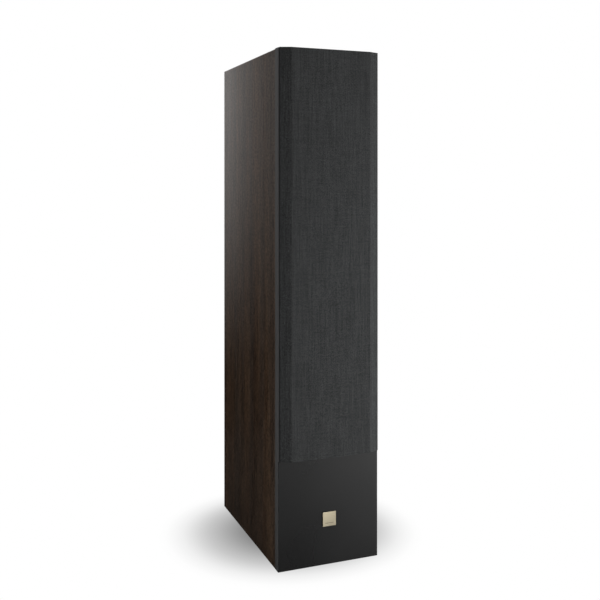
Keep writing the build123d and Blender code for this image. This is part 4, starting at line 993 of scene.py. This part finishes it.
def floor_plane():
    """A plain white floor with a painted soft round pool of shade under the speaker: camera rays see the painted shade
    as emission over a black base, other rays see a lit white floor. Beyond the pool it is the backdrop's white.
    """
    bm = bmesh.new()
    bmesh.ops.create_grid(bm, x_segments=8, y_segments=8, size=20.0)
    me = bpy.data.meshes.new("floor")
    bm.to_mesh(me)
    bm.free()
    o = bpy.data.objects.new("floor", me)
    o.location.z = -0.0006
    bpy.context.scene.collection.objects.link(o)
    g = Graph("floor_paper")
    power = 2.11
    ax = g.math("POWER", g.math("ABSOLUTE", g.math("ADD", g.axis("X"), 0.0101)), power)
    ay = g.math("POWER", g.math("MULTIPLY", g.math("ABSOLUTE", g.math("SUBTRACT", g.axis("Y"), 0.0068)), 1.04), power)
    away = g.math("POWER", g.math("ADD", ax, ay), 1.0 / power)
    # painted shadow: camera rays see only this emission ramp
    pool = g.ramp(away, *((r, (v, v, v)) for r, v in FLOOR_PAINTED_SHADOW))
    seen = g.nt.nodes.new("ShaderNodeLightPath").outputs["Is Camera Ray"]
    g.set(
        Base_Color=g.mix(seen, (0.93, 0.93, 0.93), (0.0, 0.0, 0.0)),
        Roughness=1.0,
        Specular_IOR_Level=0.0,
        Emission_Color=pool,
        Emission_Strength=seen,
    )
    me.materials.append(g.mat)
    o.visible_glossy = False
    return o


floor_plane()


def softbox(name, where, target, size, power, color=(1, 1, 1)):
    """A large soft light. It isn't seen by the camera or in reflections: the world holds what shiny surfaces reflect."""
    light = bpy.data.lights.new(name, "AREA")
    light.shape = "RECTANGLE"
    light.size, light.size_y = size
    light.energy = power
    light.color = color
    o = bpy.data.objects.new(name, light)
    bpy.context.scene.collection.objects.link(o)
    o.location = where
    o.rotation_euler = (Vector(target) - Vector(where)).to_track_quat("-Z", "Y").to_euler()
    o.visible_camera = False
    o.visible_glossy = False
    return o


def sheen_card():
    """A tall lit card behind the speaker, seen only in reflections: it gives the side its sheen, strongest high up and to the rear."""
    y = 0.85
    me = bpy.data.meshes.new("sheen_card")
    me.from_pydata([(-0.85, y, 0.0), (0.45, y, 0.0), (0.45, y, 2.2), (-0.85, y, 2.2)], [], [(0, 1, 2, 3)])
    me.update()
    o = bpy.data.objects.new("sheen_card", me)
    bpy.context.scene.collection.objects.link(o)
    g = Graph("sheen_card")
    side = g.span(g.axis("X"), CARD_X[0], CARD_X[1], 0.0, 1.0, smooth=True)
    height = g.span(g.axis("Z"), CARD_Z[0], CARD_Z[1], 0.0, 1.0, smooth=True)
    g.set(
        Base_Color=(0.0, 0.0, 0.0),
        Roughness=1.0,
        Specular_IOR_Level=0.0,
        Emission_Color=(1.0, 1.0, 1.0),
        Emission_Strength=g.math("MULTIPLY", g.math("MULTIPLY", side, height), CARD_POWER),
    )
    me.materials.append(g.mat)
    o.visible_camera = o.visible_diffuse = o.visible_shadow = o.visible_transmission = False
    return o


CARD_X, CARD_Z, CARD_POWER = (-0.408, -0.234), (0.15, 1.29), 1.58
sheen_card()
key = softbox("key_right", (1.10, -1.10, 0.52), (0.0, -0.20, 0.52), (0.5, 0.7), 26.0)
# the key light is flagged off the cabinet's boards, so its near side stays as dark as the far side
flagged = {"side_panel_left", "side_panel_right", "top_panel", "bottom_panel", "rear_panel", "front_baffle"}
lit = bpy.data.collections.new("key_receivers")
for o in bpy.data.objects:
    if o.type == "MESH" and o.name not in flagged:
        lit.objects.link(o)
key.light_linking.receiver_collection = lit
softbox("overhead", (0.25, 0.1, 3.6), (0.0, 0.0, 0.0), (2.4, 2.4), 18.0)

world = bpy.data.worlds.new("studio")
bpy.context.scene.world = world
world.use_nodes = True
w = Tree(world.node_tree, "Generated")
x, y, z = w.axis("X"), w.axis("Y"), w.axis("Z")


def total(*parts):
    out = parts[0]
    for part in parts[1:]:
        out = w.math("ADD", out, part)
    return out


def product(*parts):
    out = parts[0]
    for part in parts[1:]:
        out = w.math("MULTIPLY", out, part)
    return out


# soft white room for matte surfaces: brighter on the right
room = total(0.46, product(x, 0.17), product(z, -0.08))
# what satin surfaces reflect: a broad soft panel in front on the right, and dimmer walls elsewhere
ahead = w.span(y, 0.1, -0.5, 0.0, 1.0, smooth=True)
across = product(w.span(x, 0.25, 0.62, 0.0, 1.0, smooth=True), w.span(x, 0.66, 0.86, 1.0, 0.30, smooth=True))
low = w.span(z, -0.46, -0.155, 0.0, 1.0, smooth=True)
front_panel_light = product(ahead, total(0.01, product(across, low, 4.9)))
right_wall = product(w.span(x, 0.6, 0.95, 0.0, 0.22), w.span(z, -0.5, 0.4, 0.4, 1.0))
mirror_world = total(0.014, front_panel_light, right_wall)

path = w.nt.nodes.new("ShaderNodeLightPath")
strength = total(
    product(w.math("SUBTRACT", 1.0, path.outputs["Is Glossy Ray"]), room),
    product(path.outputs["Is Glossy Ray"], mirror_world),
)
lights = w.node("ShaderNodeBackground", {"Color": (1.0, 1.0, 1.0, 1.0), "Strength": strength}).outputs[0]
backdrop = w.node("ShaderNodeBackground", {"Color": (1.0, 1.0, 1.0, 1.0), "Strength": 1.0}).outputs[0]
both = w.node("ShaderNodeMixShader", {0: path.outputs["Is Camera Ray"], 1: lights, 2: backdrop}).outputs[0]
w.nt.links.new(both, w.nt.nodes.new("ShaderNodeOutputWorld").inputs["Surface"])

camera = bpy.data.cameras.new("camera")
camera_object = bpy.data.objects.new("camera", camera)
bpy.context.scene.collection.objects.link(camera_object)
camera.sensor_width = 36.0
camera.lens = 50.921
camera.clip_start, camera.clip_end = 0.05, 80.0
camera_object.location = (-0.7486, -1.9357, 0.8360)
camera_object.rotation_euler = (math.radians(90.0), 0.0, math.radians(-21.4534))
bpy.context.scene.camera = camera_object
# The lens is shifted down only while the camera stands at its own place, so that views from elsewhere stay centred.
shift = camera.driver_add("shift_y").driver
shift.type = "SCRIPTED"
var = shift.variables.new()
var.name = "z"
var.type = "TRANSFORMS"
var.targets[0].id = camera_object
var.targets[0].transform_type = "LOC_Z"
var.targets[0].transform_space = "WORLD_SPACE"
shift.expression = "-0.187917 if abs(z - 0.8360) < 0.0001 else 0.0"

bpy.context.scene.view_settings.view_transform = "Standard"
bpy.context.scene.view_settings.look = "None"
